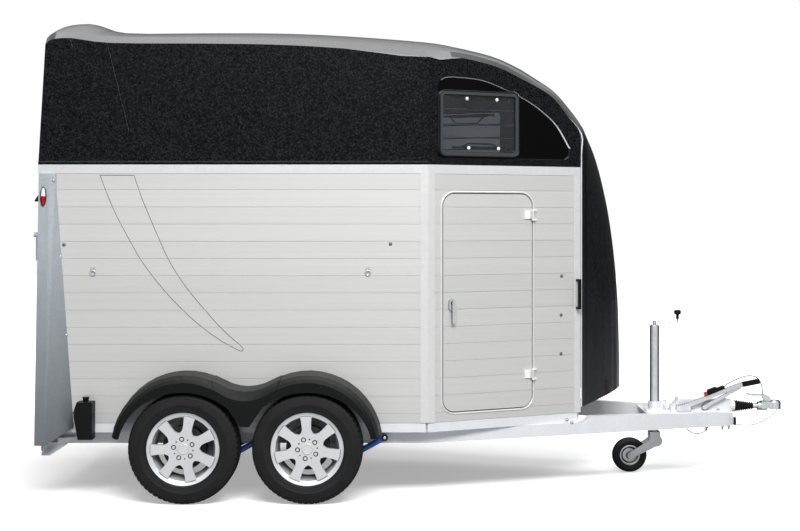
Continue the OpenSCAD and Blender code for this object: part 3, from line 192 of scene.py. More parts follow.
def black_gel_coat():
    # Metallic gel coat over glass fibre: deep black with faint bright flakes under a gloss.
    material, tree, shader, mm = start("black_gel_coat", Roughness=0.2, IOR=1.45,
                                       Coat_Weight=0.4, Coat_Roughness=0.05)
    # Flakes are drawn at 8 mm so that they show at this distance; real ones are under 1 mm.
    flakes = add(tree, "TexNoise", {"Scale": per_mm(8), "Detail": 1.0}, {"Vector": mm})
    bright = add(tree, "MapRange", {"From Min": 0.40, "From Max": 0.68},
                 {"Value": flakes.outputs["Fac"]})
    # The hollow round the window is plain black: it lies one recess depth inside the wall.
    along = add(tree, "SeparateXYZ", links={0: mm})
    mirrored = add(tree, "VectorMath", links={0: mm}, operation="ABSOLUTE")
    inside = add(tree, "VectorMath", {1: (WALL_SIN, WALL_COS, 0)}, {0: mirrored.outputs[0]},
                 operation="DOT_PRODUCT")
    level = (KINK_X * WALL_SIN + HALF_WIDTH * WALL_COS) * 1000 - RECESS_DEPTH * 1000
    in_recess = add(tree, "Math", {1: level, 2: 2.0}, {0: inside.outputs["Value"]},
                    operation="COMPARE")
    ahead = add(tree, "Math", {1: RECESS_START_X * 1000}, {0: along.outputs["X"]},
                operation="GREATER_THAN")
    hollow = add(tree, "Math", links={0: in_recess.outputs[0], 1: ahead.outputs[0]},
                 operation="MULTIPLY")
    kept = add(tree, "Math", {0: 1.0}, {1: hollow.outputs[0]}, operation="SUBTRACT")
    shown = add(tree, "Math", links={0: bright.outputs["Result"], 1: kept.outputs[0]},
                operation="MULTIPLY")
    # Inside, where the surface faces the middle of the trailer, the bare gel coat is pale grey.
    outward = add(tree, "VectorMath", {1: [c * 1000 for c in MIDDLE]}, {0: mm},
                  operation="SUBTRACT")
    faces = add(tree, "NewGeometry")
    facing = add(tree, "VectorMath", operation="DOT_PRODUCT",
                 links={0: outward.outputs[0], 1: faces.outputs["True Normal"]})
    # Painted highlight: the sloped upper walls of the window's hollow face the middle too, so
    # their pale grey draws a light line along its edge.
    inner_face_and_hollow_highlight = add(tree, "Math", {1: 0.0}, {0: facing.outputs["Value"]}, operation="LESS_THAN")
    outer = add(tree, "Mix", tones("#020203", "#232427"), {0: shown.outputs[0]}, data_type="RGBA")
    add(tree, "Mix", {7: colour("#E6E8EA")}, {0: inner_face_and_hollow_highlight.outputs[0], 6: outer.outputs[2]},
        {2: shader.inputs["Base Color"]}, data_type="RGBA")
    # Long, shallow waves from the mould bend the reflections a little.
    waves = add(tree, "TexNoise", {"Scale": per_mm(420), "Detail": 1.0}, {"Vector": mm})
    add(tree, "Bump", {"Strength": 0.2, "Distance": 0.6 * MM}, {"Height": waves.outputs["Fac"]},
        {"Normal": shader.inputs["Normal"]})
    return material


def grained_black_plastic():
    # Moulded polyethylene: dull black, a little uneven, with a fine leather grain.
    material, tree, shader, mm = start("grained_black_polyethylene", Roughness=0.5, IOR=1.5,
                                       Specular_IOR_Level=0.2)
    grain = add(tree, "TexNoise", {"Scale": per_mm(5), "Detail": 3.0}, {"Vector": mm})
    clouds = add(tree, "TexNoise", {"Scale": per_mm(240), "Detail": 3.0}, {"Vector": mm})
    add(tree, "Mix", tones("#060707", "#0C0D0D"), {0: clouds.outputs["Fac"]},
        {2: shader.inputs["Base Color"]}, data_type="RGBA")
    add(tree, "MapRange", {"To Min": 0.42, "To Max": 0.62}, {"Value": grain.outputs["Fac"]},
        {"Result": shader.inputs["Roughness"]})
    add(tree, "Bump", {"Strength": 0.6, "Distance": 0.4 * MM}, {"Height": grain.outputs["Fac"]},
        {"Normal": shader.inputs["Normal"]})
    return material


def satin_coating(name, dark, light):
    # Powder-coated frame: even satin, with a fine orange peel.
    material, tree, shader, mm = start(name, Roughness=0.3, IOR=1.5, Specular_IOR_Level=0.4)
    grain = add(tree, "TexNoise", {"Scale": per_mm(3), "Detail": 2.0}, {"Vector": mm})
    add(tree, "Mix", tones(dark, light), {0: grain.outputs["Fac"]},
        {2: shader.inputs["Base Color"]}, data_type="RGBA")
    add(tree, "Bump", {"Strength": 0.4, "Distance": 0.1 * MM}, {"Height": grain.outputs["Fac"]},
        {"Normal": shader.inputs["Normal"]})
    return material


def tyre_rubber():
    # Vulcanised rubber: near black, dull, with a slight bloom.
    material, tree, shader, mm = start("tyre_rubber", Roughness=0.6, IOR=1.5,
                                       Specular_IOR_Level=0.2)
    bloom = add(tree, "TexNoise", {"Scale": per_mm(50), "Detail": 5.0}, {"Vector": mm})
    add(tree, "Mix", tones("#151516", "#222223"), {0: bloom.outputs["Fac"]},
        {2: shader.inputs["Base Color"]}, data_type="RGBA")
    add(tree, "MapRange", {"To Min": 0.5, "To Max": 0.75}, {"Value": bloom.outputs["Fac"]},
        {"Result": shader.inputs["Roughness"]})
    add(tree, "Bump", {"Strength": 0.4, "Distance": 0.5 * MM}, {"Height": bloom.outputs["Fac"]},
        {"Normal": shader.inputs["Normal"]})
    return material


def silver_alloy():
    # Cast alloy wheel with silver lacquer: even, bright fine metal under a clear coat.
    material, tree, shader, mm = start("silver_lacquered_alloy", Metallic=0.35, Roughness=0.32,
                                       Coat_Weight=0.3, Coat_Roughness=0.08)
    film = add(tree, "TexNoise", {"Scale": per_mm(60), "Detail": 2.0}, {"Vector": mm})
    # Painted shade: corners and the lines under the spokes are darkened where little light
    # reaches them.
    painted_shade = add(tree, "AmbientOcclusion", {"Distance": 16 * MM}, samples=8, only_local=True)
    bright = add(tree, "MapRange", {"From Min": 0.2, "From Max": 0.8},
                 {"Value": painted_shade.outputs["AO"]})
    # Painted shade: the barrel is darkened from 22 to 50 mm behind the faces of the spokes, which
    # shade it.
    mirrored = add(tree, "VectorMath", links={0: mm}, operation="ABSOLUTE")
    depth = add(tree, "SeparateXYZ", links={0: mirrored.outputs[0]})
    front = add(tree, "MapRange", {"From Min": SPOKE_FACE_Y * 1000 - 50,
                                   "From Max": SPOKE_FACE_Y * 1000 - 22, "To Min": 0.12},
                {"Value": depth.outputs["Y"]})
    lit = add(tree, "Math", links={0: bright.outputs["Result"], 1: front.outputs["Result"]},
              operation="MULTIPLY")
    varied = add(tree, "Math", {1: 0.06}, {0: film.outputs["Fac"]}, operation="MULTIPLY")
    whole = add(tree, "Math", links={0: lit.outputs[0], 1: varied.outputs[0]},
                operation="SUBTRACT", use_clamp=True)
    add(tree, "Mix", tones("#4A4C4F", "#E4E5E7"), {0: whole.outputs[0]},
        {2: shader.inputs["Base Color"]}, data_type="RGBA")
    add(tree, "MapRange", {"To Min": 0.26, "To Max": 0.34}, {"Value": film.outputs["Fac"]},
        {"Result": shader.inputs["Roughness"]})
    return material


def zinc_plated_steel():
    # Zinc-plated steel with a painted reflection: bright where it faces the eye, dark along its
    # rounded edges.
    material, tree, shader, mm = start("zinc_plated_steel", Metallic=0.5, Roughness=0.25)
    clouds = add(tree, "TexNoise", {"Scale": per_mm(35), "Detail": 4.0}, {"Vector": mm})
    zinc = add(tree, "Mix", tones("#CDD1D4", "#F2F4F5"),
               {0: clouds.outputs["Fac"]}, data_type="RGBA")
    # Painted reflection: the colour turns dark where the surface turns away from the eye, as if
    # bright lamps in front were mirrored in it.
    facing = add(tree, "LayerWeight", {"Blend": 0.5})
    edge = add(tree, "MapRange", {"From Min": 0.08, "From Max": 0.5},
               {"Value": facing.outputs["Facing"]}, interpolation_type="SMOOTHSTEP")
    add(tree, "Mix", {7: colour("#1E2124")}, {0: edge.outputs["Result"], 6: zinc.outputs[2]},
        {2: shader.inputs["Base Color"]}, data_type="RGBA")
    add(tree, "MapRange", {"To Min": 0.18, "To Max": 0.32}, {"Value": clouds.outputs["Fac"]},
        {"Result": shader.inputs["Roughness"]})
    return material


def cast_iron():
    # Painted cast iron brake drum: grey and pitted.
    material, tree, shader, mm = start("painted_cast_iron", Metallic=0.4, Roughness=0.55)
    pits = add(tree, "TexNoise", {"Scale": per_mm(8), "Detail": 4.0}, {"Vector": mm})
    add(tree, "Mix", tones("#1E1F20", "#343638"), {0: pits.outputs["Fac"]},
        {2: shader.inputs["Base Color"]}, data_type="RGBA")
    add(tree, "Bump", {"Strength": 0.5, "Distance": 0.4 * MM}, {"Height": pits.outputs["Fac"]},
        {"Normal": shader.inputs["Normal"]})
    return material


def tinted_acrylic():
    # Cast acrylic pane: smoke-grey tint, glossy, and light gets through it into the hood.
    material, tree, shader, mm = start("smoke_tinted_acrylic", Roughness=0.02, IOR=1.49,
                                       Transmission_Weight=0.97, Specular_IOR_Level=0.12)
    haze = add(tree, "TexNoise", {"Scale": per_mm(180), "Detail": 2.0}, {"Vector": mm})
    add(tree, "Mix", tones("#83878B", "#94989C"), {0: haze.outputs["Fac"]},
        {2: shader.inputs["Base Color"]}, data_type="RGBA")
    # The pane casts no shadow, so that daylight reaches the inside.
    rays = add(tree, "LightPath")
    clear = add(tree, "BsdfTransparent", {"Color": WHITE})
    output = next(n for n in tree.nodes if n.type == "OUTPUT_MATERIAL")
    add(tree, "MixShader", None, {0: rays.outputs["Is Shadow Ray"], 1: shader.outputs["BSDF"],
                                  2: clear.outputs["BSDF"]}, {0: output.inputs["Surface"]})
    return material


def blue_paint():
    # Sprayed enamel on the dampers: clear blue with a soft gloss.
    material, tree, shader, mm = start("blue_enamel", Roughness=0.3, IOR=1.5, Coat_Weight=0.3)
    film = add(tree, "TexNoise", {"Scale": per_mm(25), "Detail": 3.0}, {"Vector": mm})
    add(tree, "Mix", tones("#1450A8", "#2A6CC8"), {0: film.outputs["Fac"]},
        {2: shader.inputs["Base Color"]}, data_type="RGBA")
    return material


def white_plastic():
    # Moulded polyamide caps: clean white, slightly grained.
    material, tree, shader, mm = start("white_polyamide", Roughness=0.4, IOR=1.5)
    grain = add(tree, "TexNoise", {"Scale": per_mm(4), "Detail": 2.0}, {"Vector": mm})
    add(tree, "Mix", tones("#E4E4E2", "#F2F2F0"), {0: grain.outputs["Fac"]},
        {2: shader.inputs["Base Color"]}, data_type="RGBA")
    add(tree, "Bump", {"Strength": 0.5, "Distance": 0.1 * MM}, {"Height": grain.outputs["Fac"]},
        {"Normal": shader.inputs["Normal"]})
    return material


def dark_film():
    # Cast vinyl film cut to a thin line: charcoal, even and slightly satin.
    material, tree, shader, mm = start("charcoal_vinyl_film", Roughness=0.4, IOR=1.5)
    grain = add(tree, "TexNoise", {"Scale": per_mm(40), "Detail": 2.0}, {"Vector": mm})
    add(tree, "Mix", tones("#34353A", "#4A4B50"), {0: grain.outputs["Fac"]},
        {2: shader.inputs["Base Color"]}, data_type="RGBA")
    return material


def red_plastic():
    # Moulded polypropylene: signal red, satin, slightly faded in patches.
    material, tree, shader, mm = start("red_polypropylene", Roughness=0.4, IOR=1.49)
    fade = add(tree, "TexNoise", {"Scale": per_mm(20), "Detail": 3.0}, {"Vector": mm})
    add(tree, "Mix", tones("#9C1C1E", "#C23A36"), {0: fade.outputs["Fac"]},
        {2: shader.inputs["Base Color"]}, data_type="RGBA")
    return material


def lens(name, dark, light):
    # Polycarbonate lamp lens: moulded prisms under a glossy face.
    material, tree, shader, mm = start(name, Roughness=0.12, IOR=1.58, Coat_Weight=0.6)
    prisms = add(tree, "TexVoronoi", {"Scale": per_mm(7), "Randomness": 0.0}, {"Vector": mm})
    add(tree, "Mix", tones(light, dark), {0: prisms.outputs["Distance"]},
        {2: shader.inputs["Base Color"]}, data_type="RGBA")
    add(tree, "Bump", {"Strength": 0.5, "Distance": 0.6 * MM},
        {"Height": prisms.outputs["Distance"]}, {"Normal": shader.inputs["Normal"]})
    return material


def birch_plywood():
    # Film-faced birch plywood: brown film with a faint mesh print and lengthwise figure.
    material, tree, shader, mm = start("film_faced_birch_plywood", Roughness=0.45, IOR=1.5)
    along = add(tree, "VectorMath", {1: (0.08, 1, 1)}, {0: mm}, operation="MULTIPLY")
    figure = add(tree, "TexNoise", {"Scale": per_mm(18), "Detail": 4.0},
                 {"Vector": along.outputs[0]})
    add(tree, "Mix", tones("#3A2A1E", "#5C4432"), {0: figure.outputs["Fac"]},
        {2: shader.inputs["Base Color"]}, data_type="RGBA")
    mesh = add(tree, "TexVoronoi", {"Scale": per_mm(5), "Randomness": 0.0}, {"Vector": mm})
    add(tree, "Bump", {"Strength": 0.5, "Distance": 0.5 * MM},
        {"Height": mesh.outputs["Distance"]}, {"Normal": shader.inputs["Normal"]})
    return material


MATERIALS = {
    "planks": anodised_planks(),
    "bright_trim": bright_trim(),
    "galvanised": galvanised_steel("hot_dip_galvanised_steel", "#D9DDE1", "#F2F4F6", 0.2, 1.0),
    # Painted shade: a darker copy of the zinc for the posts, darker still towards their foot.
    "galvanised_sheet": galvanised_steel("galvanised_sheet_painted_shade", "#A4ACB2", "#C2C9CE",
                                         0.5, 0.42),
    "black_moulding": black_gel_coat(),
    "black_plastic": grained_black_plastic(),
    "black_frame": satin_coating("satin_black_coating", "#070707", "#0D0D0E"),
    "grey_frame": satin_coating("satin_grey_coating", "#34363A", "#44474B"),
    "bolt_steel": galvanised_steel("dull_bolt_steel", "#5A5E62", "#7C8085", 0.5, 1.0),
    "tyre": tyre_rubber(),
    "alloy_rim": silver_alloy(),
    "bright_steel": zinc_plated_steel(),
    "brake_drum": cast_iron(),
    "tinted_pane": tinted_acrylic(),
    "blue_paint": blue_paint(),
    "white_parts": white_plastic(),
    "red_lens": lens("red_polycarbonate_lens", "#7A0A0C", "#C4181A"),
    "white_lens": lens("clear_polycarbonate_lens", "#C9CBCD", "#F2F3F4"),
    "dark_film": dark_film(),
    "red_plastic": red_plastic(),
    "floor_board": birch_plywood(),
}
MATERIALS["inner_panel"] = MATERIALS["floor_board"]
MATERIALS["solid_tyre"] = MATERIALS["tyre"]
MATERIALS["black_rubber"] = MATERIALS["tyre"]

# The posts, folded from thin sheet, get a darker copy of the zinc as painted shade, since their
# flared faces turn down to the floor; the window frames are coated grey, their catches black.
OWN_FINISH = {"rear_posts": "galvanised_sheet", "window_frames": "grey_frame"}

for part in frame["record"]["subparts"]:
    mesh = frame["nodes"][part["node"]].data
    mesh.materials.clear()
    finish = OWN_FINISH.get(part["node"], part["material_slot"])
    mesh.materials.append(MATERIALS[finish])


# Making pieces

def piece(name, points, faces, material, body="trailer", slot=None, smooth=30):
    """Mesh piece that rides on a body; edges flatter than the smooth angle are shaded round."""
    mesh = bpy.data.meshes.new(name)
    mesh.from_pydata([tuple(p) for p in points], [], faces)
    work = bmesh.new()
    work.from_mesh(mesh)
    bmesh.ops.recalc_face_normals(work, faces=work.faces)
    for face in work.faces:
        face.smooth = True
    for edge in work.edges:
        edge.smooth = len(edge.link_faces) == 2 and edge.calc_face_angle() < math.radians(smooth)
    work.to_mesh(mesh)
    work.free()
    made = bpy.data.objects.new(name, mesh)
    bpy.context.scene.collection.objects.link(made)
    mesh.materials.append(MATERIALS[material])
    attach(made, body)
    slot or material
    return made


def joined(shapes):
    """One list of points and faces from several."""
    points, faces = [], []
    for some, loops in shapes:
        faces += [tuple(i + len(points) for i in loop) for loop in loops]
        points += some
    return points, faces


def turned(profile, steps, centre, axis, across):
    """Profile of (radius, height) pairs turned about an axis; its ends meet the axis."""
    third = axis.cross(across)
    points, faces = [], []
    for k in range(steps):
        a = 2 * math.pi * k / steps
        arm = across * math.cos(a) + third * math.sin(a)
        points += [centre + arm * r + axis * h for r, h in profile]
    n = len(profile)
    for k in range(steps):
        for i in range(n - 1):
            a, b = k * n + i, (k + 1) % steps * n + i
            faces.append((a, b, b + 1, a + 1))
    faces.append(tuple(k * n for k in range(steps)))
    faces.append(tuple(k * n + n - 1 for k in reversed(range(steps))))
    return points, faces


def swept(rails, closed):
    """Surface through rows of points, one row for each step of a path, with capped ends."""
    n = len(rails[0])
    points = [p for row in rails for p in row]
    rows = len(rails)
    faces = []
    for k in range(rows if closed else rows - 1):
        for i in range(n):
            a, b = k * n + i, k * n + (i + 1) % n
            c, d = (k + 1) % rows * n + (i + 1) % n, (k + 1) % rows * n + i
            faces.append((a, b, c, d))
    if not closed:
        faces.append(tuple(range(n)))
        faces.append(tuple(reversed(range((rows - 1) * n, rows * n))))
    return points, faces


def flat_block(outline, low, high, place):
    """Block on an outline of two coordinates, with slightly drawn-in edges."""
    cx = sum(p[0] for p in outline) / len(outline)
    cz = sum(p[1] for p in outline) / len(outline)
    edge = min(0.001, abs(high - low) * 0.3)

    def row(level, inset):
        made = []
        for x, z in outline:
            d = math.hypot(x - cx, z - cz) or 1
            made.append(place(x - (x - cx) / d * inset, z - (z - cz) / d * inset, level))
        return made
    return swept([row(low, 0), row(high - edge, 0), row(high, edge)], False)


def rectangle(left, low, right, high):
    return [(left, low), (right, low), (right, high), (left, high)]


def half_round(width, proud):
    """Section of a bead whose foot sinks a little into what carries it."""
    return [(width / 2 * math.cos(math.pi * k / 8), proud * math.sin(math.pi * k / 8))
            for k in range(9)] + [(-width / 2, -0.0005), (width / 2, -0.0005)]


def between(a, b, c, d, t):
    """Point at a share t of the smooth curve from b to c, with a before and d behind them."""
    return 0.5 * (2 * b + (c - a) * t + (2 * a - 5 * b + 4 * c - d) * t * t
                  + (3 * b - a - 3 * c + d) * t * t * t)


def on_front_wall(side):
    """Point from the distance along the front wall, the height and the distance out of it."""
    def place(u, z, out):
        return Vector((KINK_X + u * WALL_COS + out * WALL_SIN,
                       side * (HALF_WIDTH - u * WALL_SIN + out * WALL_COS), z))
    return place


def on_side_wall(side):
    """Point from x, the height and the distance out of the side wall."""
    return lambda x, z, out: Vector((x, side * (HALF_WIDTH + out), z))


def lengthwise(x, z, y):
    """Point of a block whose outline lies in an upright plane along the trailer."""
    return Vector((x, y, z))


# Washer and domed head: (radius, height), both as shares of the head's own.
BOLT_DOME = [(1.35, 0.18), (1.0, 0.22), (0.92, 0.62), (0.55, 0.94), (0.08, 1.0)]
BOLT_SUNK = 0.001


def domed_bolts(places, radius, height):
    """Round bolt heads: places holds pairs of a foot point and the direction they stand in."""
    profile = [(radius * BOLT_DOME[0][0], -BOLT_SUNK)]
    profile += [(radius * r, height * h) for r, h in BOLT_DOME]
    return joined([turned(profile, 14, foot, out.normalized(), out.orthogonal().normalized())
                   for foot, out in places])


# Road tyres: (radius, half width) from the inside of the bead over the sidewall to the shoulder,
# then over the ribs of the tread to its middle

TYRE_HALF = [(0.30125, 0.050), (0.29325, 0.066), (0.2045, 0.060), (0.1915, 0.062),
             (0.1915, 0.0745), (0.2075, 0.0815), (0.2095, 0.088), (0.2165, 0.0915),
             (0.2185, 0.0935), (0.2205, 0.0918), (0.2355, 0.0962), (0.2490, 0.0972),
             (0.2500, 0.0980), (0.2520, 0.0980), (0.2530, 0.0966), (0.2700, 0.0950),
             (0.2860, 0.0915), (0.2870, 0.0924), (0.2890, 0.0920), (0.2900, 0.0904),
             (0.3035, 0.0868), (0.3110, 0.0810), (0.3145, 0.0740), (0.3162, 0.0660)]
TREAD_RIBS = [(0.3166, 0.058), (0.3170, 0.044), (0.3100, 0.0425), (0.3100, 0.0365),
              (0.3172, 0.035), (0.3172, 0.0165), (0.3100, 0.0152), (0.3100, 0.0092),
              (0.3172, 0.0078)]
PITCHES = 60
CUT_DEPTH = 0.005
CUT_SLANT = 0.9
CUT_END_W = 0.083
GROOVE_R = 0.3105
SHOULDER_RIB_W = 0.044
MIDDLE_RIB_W = 0.0165
# (share of the pitch, whether the surface is cut there)
CUT_STEPS = ((0.0, True), (0.16, True), (0.2, False), (0.96, False))


def tyre_shape(centre, side):
    """Tyre with a carcass open to the rim, and slanting cuts across its outer and middle ribs."""
    half = TYRE_HALF + TREAD_RIBS
    profile = half + [(r, -w) for r, w in reversed(half)]
    rails = []
    for k in range(PITCHES):
        for part, cut in CUT_STEPS:
            row = []
            for r, w in profile:
                slant = abs(w) * CUT_SLANT
                a = 2 * math.pi * (k + part + slant * 2) / PITCHES
                on_rib = r > GROOVE_R and (abs(w) > SHOULDER_RIB_W or MIDDLE_RIB_W > abs(w))
                depth = CUT_DEPTH if cut and on_rib and abs(w) < CUT_END_W else 0
                row.append(centre + Vector(((r - depth) * math.cos(a), side * w,
                                            (r - depth) * math.sin(a))))
            rails.append(row)
    return swept(rails, True)


for axle, x in AXLES.items():
    for side_name, side in SIDES.items():
        wheel = "%s_%s" % (axle, side_name)
        middle = Vector((x, side * (TYRE_FACE_Y - TYRE_WIDTH / 2), TYRE_R))
        made = piece("tread_tyre_" + wheel, *tyre_shape(middle, side), "tyre",
                     body="wheel_" + wheel, smooth=40)
        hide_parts("tyre_" + wheel)


# Doors and windows

DOOR = {"u": 0.099, "z": 0.495, "width": 0.602, "height": 1.278, "corner": 0.075, "gap": 0.006}
BEAD_WIDTH = 0.011
BEAD_PROUD = 0.005
HINGE_U = 0.704
HINGE_ZS = (0.670, 1.628)
HINGE_HEIGHT = 0.045
HINGE_CLEARANCE = 0.014
CAP_REACH = (0.056, 0.0175)
CAP_OVER = 0.002
CAP_LEVELS = (0.0005, 0.009)


def rounded_path(u, z, width, height, corner):
    """Points and outward directions round a rounded rectangle."""
    made = []
    for cu, cz, start_at in ((u + width - corner, z + height - corner, 0),
                             (u + corner, z + height - corner, 90),
                             (u + corner, z + corner, 180),
                             (u + width - corner, z + corner, 270)):
        for k in range(11):
            a = math.radians(start_at + 9 * k)
            made.append((cu + corner * math.cos(a), cz + corner * math.sin(a),
                         math.cos(a), math.sin(a)))
    return made


def door_bead(side):
    """White bead round the doorway, interrupted where the two hinges cross it."""
    place = on_front_wall(side)
    off = DOOR["gap"] + BEAD_WIDTH / 2
    path = rounded_path(DOOR["u"] - off, DOOR["z"] - off, DOOR["width"] + 2 * off,
                        DOOR["height"] + 2 * off, DOOR["corner"] + off)
    hinge_side = DOOR["u"] + DOOR["width"] + off
    lower, upper = [(z - HINGE_CLEARANCE, z + HINGE_HEIGHT + HINGE_CLEARANCE) for z in HINGE_ZS]
    runs = [[(hinge_side, lower[1], 1, 0), (hinge_side, upper[0], 1, 0)],
            [(hinge_side, upper[1], 1, 0)] + path + [(hinge_side, lower[0], 1, 0)]]
    shapes = []
    for run in runs:
        shapes.append(swept([[place(u + nu * w, z + nz * w, out)
                              for w, out in half_round(BEAD_WIDTH, BEAD_PROUD)]
                             for u, z, nu, nz in run], False))
    return joined(shapes)


WINDOW = {"u": 0.070, "z": 1.992, "width": 0.543, "height": 0.391, "corner": 0.045}
# Rubber seal of the pane, then the rim of the frame in its hollow.
RUBBERS = [{"inset": 0.004, "width": 0.008, "proud": 0.004, "base": 0.006},
           {"inset": 0.0265, "width": 0.007, "proud": 0.003, "base": -0.008}]
# Catches: line, screws, ends, and which way and how far the finger grip reaches.
LATCHES = [{"z": 2.336, "buttons": (0.261, 0.464), "ends": (0.150, 0.545), "way": -1,
            "reach": 0.052},
           {"z": 2.045, "buttons": (0.273, 0.475), "ends": (0.165, 0.550), "way": 1,
            "reach": 0.026}]
# Levels behind the wall, a tenth of a millimetre apart so that no two faces coincide.
BAR_LEVELS = (-0.0155, -0.0123)
END_LEVELS = (-0.0157, -0.0122)
GRIP_LEVELS = (-0.0156, -0.0124)
END_WIDTH = 0.008
END_HALF = 0.013
GRIP_HALF = 0.005
BUTTON_R = 0.0075
BUTTON_HEIGHT = 0.005


def window_rubber(side):
    """Rubber seal round the pane, a glossy rim round the frame."""
    place = on_front_wall(side)
    shapes = []
    for rubber in RUBBERS:
        inset = rubber["inset"]
        path = rounded_path(WINDOW["u"] + inset, WINDOW["z"] + inset, WINDOW["width"] - 2 * inset,
                            WINDOW["height"] - 2 * inset, WINDOW["corner"] - min(inset, 0.02))
        shapes.append(swept([[place(u + nu * w, z + nz * w, out + rubber["base"])
                              for w, out in half_round(rubber["width"], rubber["proud"])]
                             for u, z, nu, nz in path], True))
    return joined(shapes)


def window_latches(side):
    """Black catch bars behind the pane, each with a finger grip in its middle."""
    place = on_front_wall(side)
    shapes = []
    for latch in LATCHES:
        left, right = latch["ends"]
        a, b = latch["buttons"]
        z, way, reach = latch["z"], latch["way"], latch["reach"]
        bar = [(left, -0.004), (a - 0.04, -0.005), (a - 0.02, -0.011), (b + 0.02, -0.011),
               (b + 0.03, -0.005), (right, -0.004), (right, 0.006), (b + 0.02, 0.011),
               (a - 0.02, 0.011), (left, 0.006)]
        shapes.append(flat_block([(u, z + h) for u, h in bar], *BAR_LEVELS, place))
        for near, far in ((left, left + END_WIDTH), (right - END_WIDTH, right)):
            shapes.append(flat_block(rectangle(near, z - END_HALF, far, z + END_HALF),
                                     *END_LEVELS, place))
        grip = [(a - 0.045, 0.006), (a, reach), (b - 0.05, reach), (b + 0.005, 0.006)]
        for (u_a, h_a), (u_b, h_b) in zip(grip, grip[1:]):
            run = Vector((u_b - u_a, way * (h_b - h_a)))
            n = Vector((-run.y, run.x)).normalized() * GRIP_HALF
            shapes.append(flat_block([(u_a - n.x, z + way * h_a - n.y),
                                      (u_b - n.x, z + way * h_b - n.y),
                                      (u_b + n.x, z + way * h_b + n.y),
                                      (u_a + n.x, z + way * h_a + n.y)],
                                     *GRIP_LEVELS, place))
    return joined(shapes)


def latch_buttons(side):
    """White caps of the screws that hold the catch bars."""
    place = on_front_wall(side)
    out = (place(0, 0, 1) - place(0, 0, 0)).normalized()
    return domed_bolts([(place(u, latch["z"], -RECESS_DEPTH), out)
                        for latch in LATCHES for u in latch["buttons"]], BUTTON_R, BUTTON_HEIGHT)


def hinge_caps(side):
    """White covers of the door's two hinges; they turn with the door."""
    far, near = CAP_REACH
    return joined([flat_block(rectangle(HINGE_U - far, z - CAP_OVER, HINGE_U - near,
                                        z + HINGE_HEIGHT + CAP_OVER),
                              *CAP_LEVELS, on_front_wall(side)) for z in HINGE_ZS])


for side_name, side in SIDES.items():
    piece("door_bead_" + side_name, *door_bead(side), "bright_trim")
    piece("window_rubber_" + side_name, *window_rubber(side), "black_frame")
    piece("window_latches_" + side_name, *window_latches(side), "black_frame")
    piece("latch_buttons_" + side_name, *latch_buttons(side), "white_parts")
    piece("hinge_caps_" + side_name, *hinge_caps(side), "white_parts", body="door_" + side_name)


# Stripe on the planks: the outline of a long curved blade, cut from dark film

STRIPE_WIDTH = 0.0034
FILM = 0.0003
FIRST_GROOVE = 0.096
GROOVE_HALF = 0.0025
GROOVE_DEPTH = 0.0025
# The curve is laid out in pixels of the camera's picture, one of which covers this on the wall.
PX = 5.815 * MM
STRIPE_PX = [(134, 175.3), (100, 175.3), (106, 191.3), (116.4, 215.4), (130.2, 241.3),
             (144, 264.5), (166.4, 292.9), (192.2, 318.8), (216.3, 337.7), (237.8, 349.8),
             (242.6, 350.6), (241.3, 346.3), (226.6, 333.4), (209.4, 315.3), (185.3, 286),
             (169.8, 261.9), (157.8, 236.1), (140.5, 194.8)]


def in_groove(z):
    """Depth of the plank surface at a height."""
    off = (WALL_TOP_Z - FIRST_GROOVE - z) % PLANK_PITCH
    return GROOVE_DEPTH if min(off, PLANK_PITCH - off) < GROOVE_HALF else 0.0


def blade_curve(points, steps):
    """Closed curve through the points: straight at the blunt upper end, smooth elsewhere."""
    n = len(points)
    made = []
    for i in range(n):
        a, b, c, d = (Vector(points[(i + k) % n]) for k in (-1, 0, 1, 2))
        straight = i in (0, 1, n - 1)
        made += [b + (c - b) * (k / steps) if straight else between(a, b, c, d, k / steps)
                 for k in range(steps)]
    return made


def blade_stripe(side):
    """Thin film line that follows the planks and dips into their grooves."""
    corners = [((px - IMAGE_WIDTH / 2) * PX + CAMERA_PLACE[0],
                CAMERA_PLACE[2] - (py - HORIZON_PX) * PX) for px, py in STRIPE_PX]
    path = blade_curve(corners, 26)
    rails = []
    for i, point in enumerate(path):
        run = path[(i + 1) % len(path)] - path[i - 1]
        n = Vector((-run.y, run.x)).normalized() * STRIPE_WIDTH / 2
        row = []
        for sign, lift in ((-1, 0.0), (-1, FILM), (1, FILM), (1, 0.0)):
            x, z = point + n * sign
            row.append(Vector((x, side * (HALF_WIDTH - in_groove(z) + lift), z)))
        rails.append(row)
    return swept(rails, True)


for side_name, side in SIDES.items():
    piece("blade_stripe_" + side_name, *blade_stripe(side), "dark_film", slot="black_frame")


# Marker lamps on the posts: oval lenses, white above and red below, in a black rim

MARKER_Z = 1.757
MARKER_X = REAR_X + 0.030
MARKER_A = 0.0145
MARKER_B = 0.0530
LENS_BASE = 0.004
LENS_DOME = 0.009
PRISM_DEPTH = 0.0005
POST_FLARE = 0.105
POST_HEIGHT = 1.564
POST_TOP_OUT = 0.020
POST_SLOPE = math.atan2(POST_FLARE, POST_HEIGHT)
# (distance out from the lens's edge, height out of the post)
RIM_SECTION = ((0.0035, -0.0005), (0.0034, 0.009), (0.0022, 0.0115), (0.0, 0.012),
               (-0.001, 0.0105), (-0.0012, 0.002))


def on_post(side):
    """Point from the offsets across and up the flared post, and out of it, at the side marker."""
    foot_y = HALF_WIDTH + POST_TOP_OUT + (WALL_TOP_Z - MARKER_Z) * math.tan(POST_SLOPE)
    out = Vector((0, side * math.cos(POST_SLOPE), math.sin(POST_SLOPE)))
    up = Vector((0, -side * math.sin(POST_SLOPE), math.cos(POST_SLOPE)))
    return lambda a, b, c: Vector((MARKER_X + a, side * foot_y, MARKER_Z)) + up * b + out * c


def marker_rim(side):
    """Rounded rim, a little higher than the lens's edge."""
    place = on_post(side)
    turns = [2 * math.pi * k / 40 for k in range(40)]
    return swept([[place(math.cos(a) * (MARKER_A + d), math.sin(a) * (MARKER_B + d), h)
                   for d, h in RIM_SECTION] for a in turns], True)


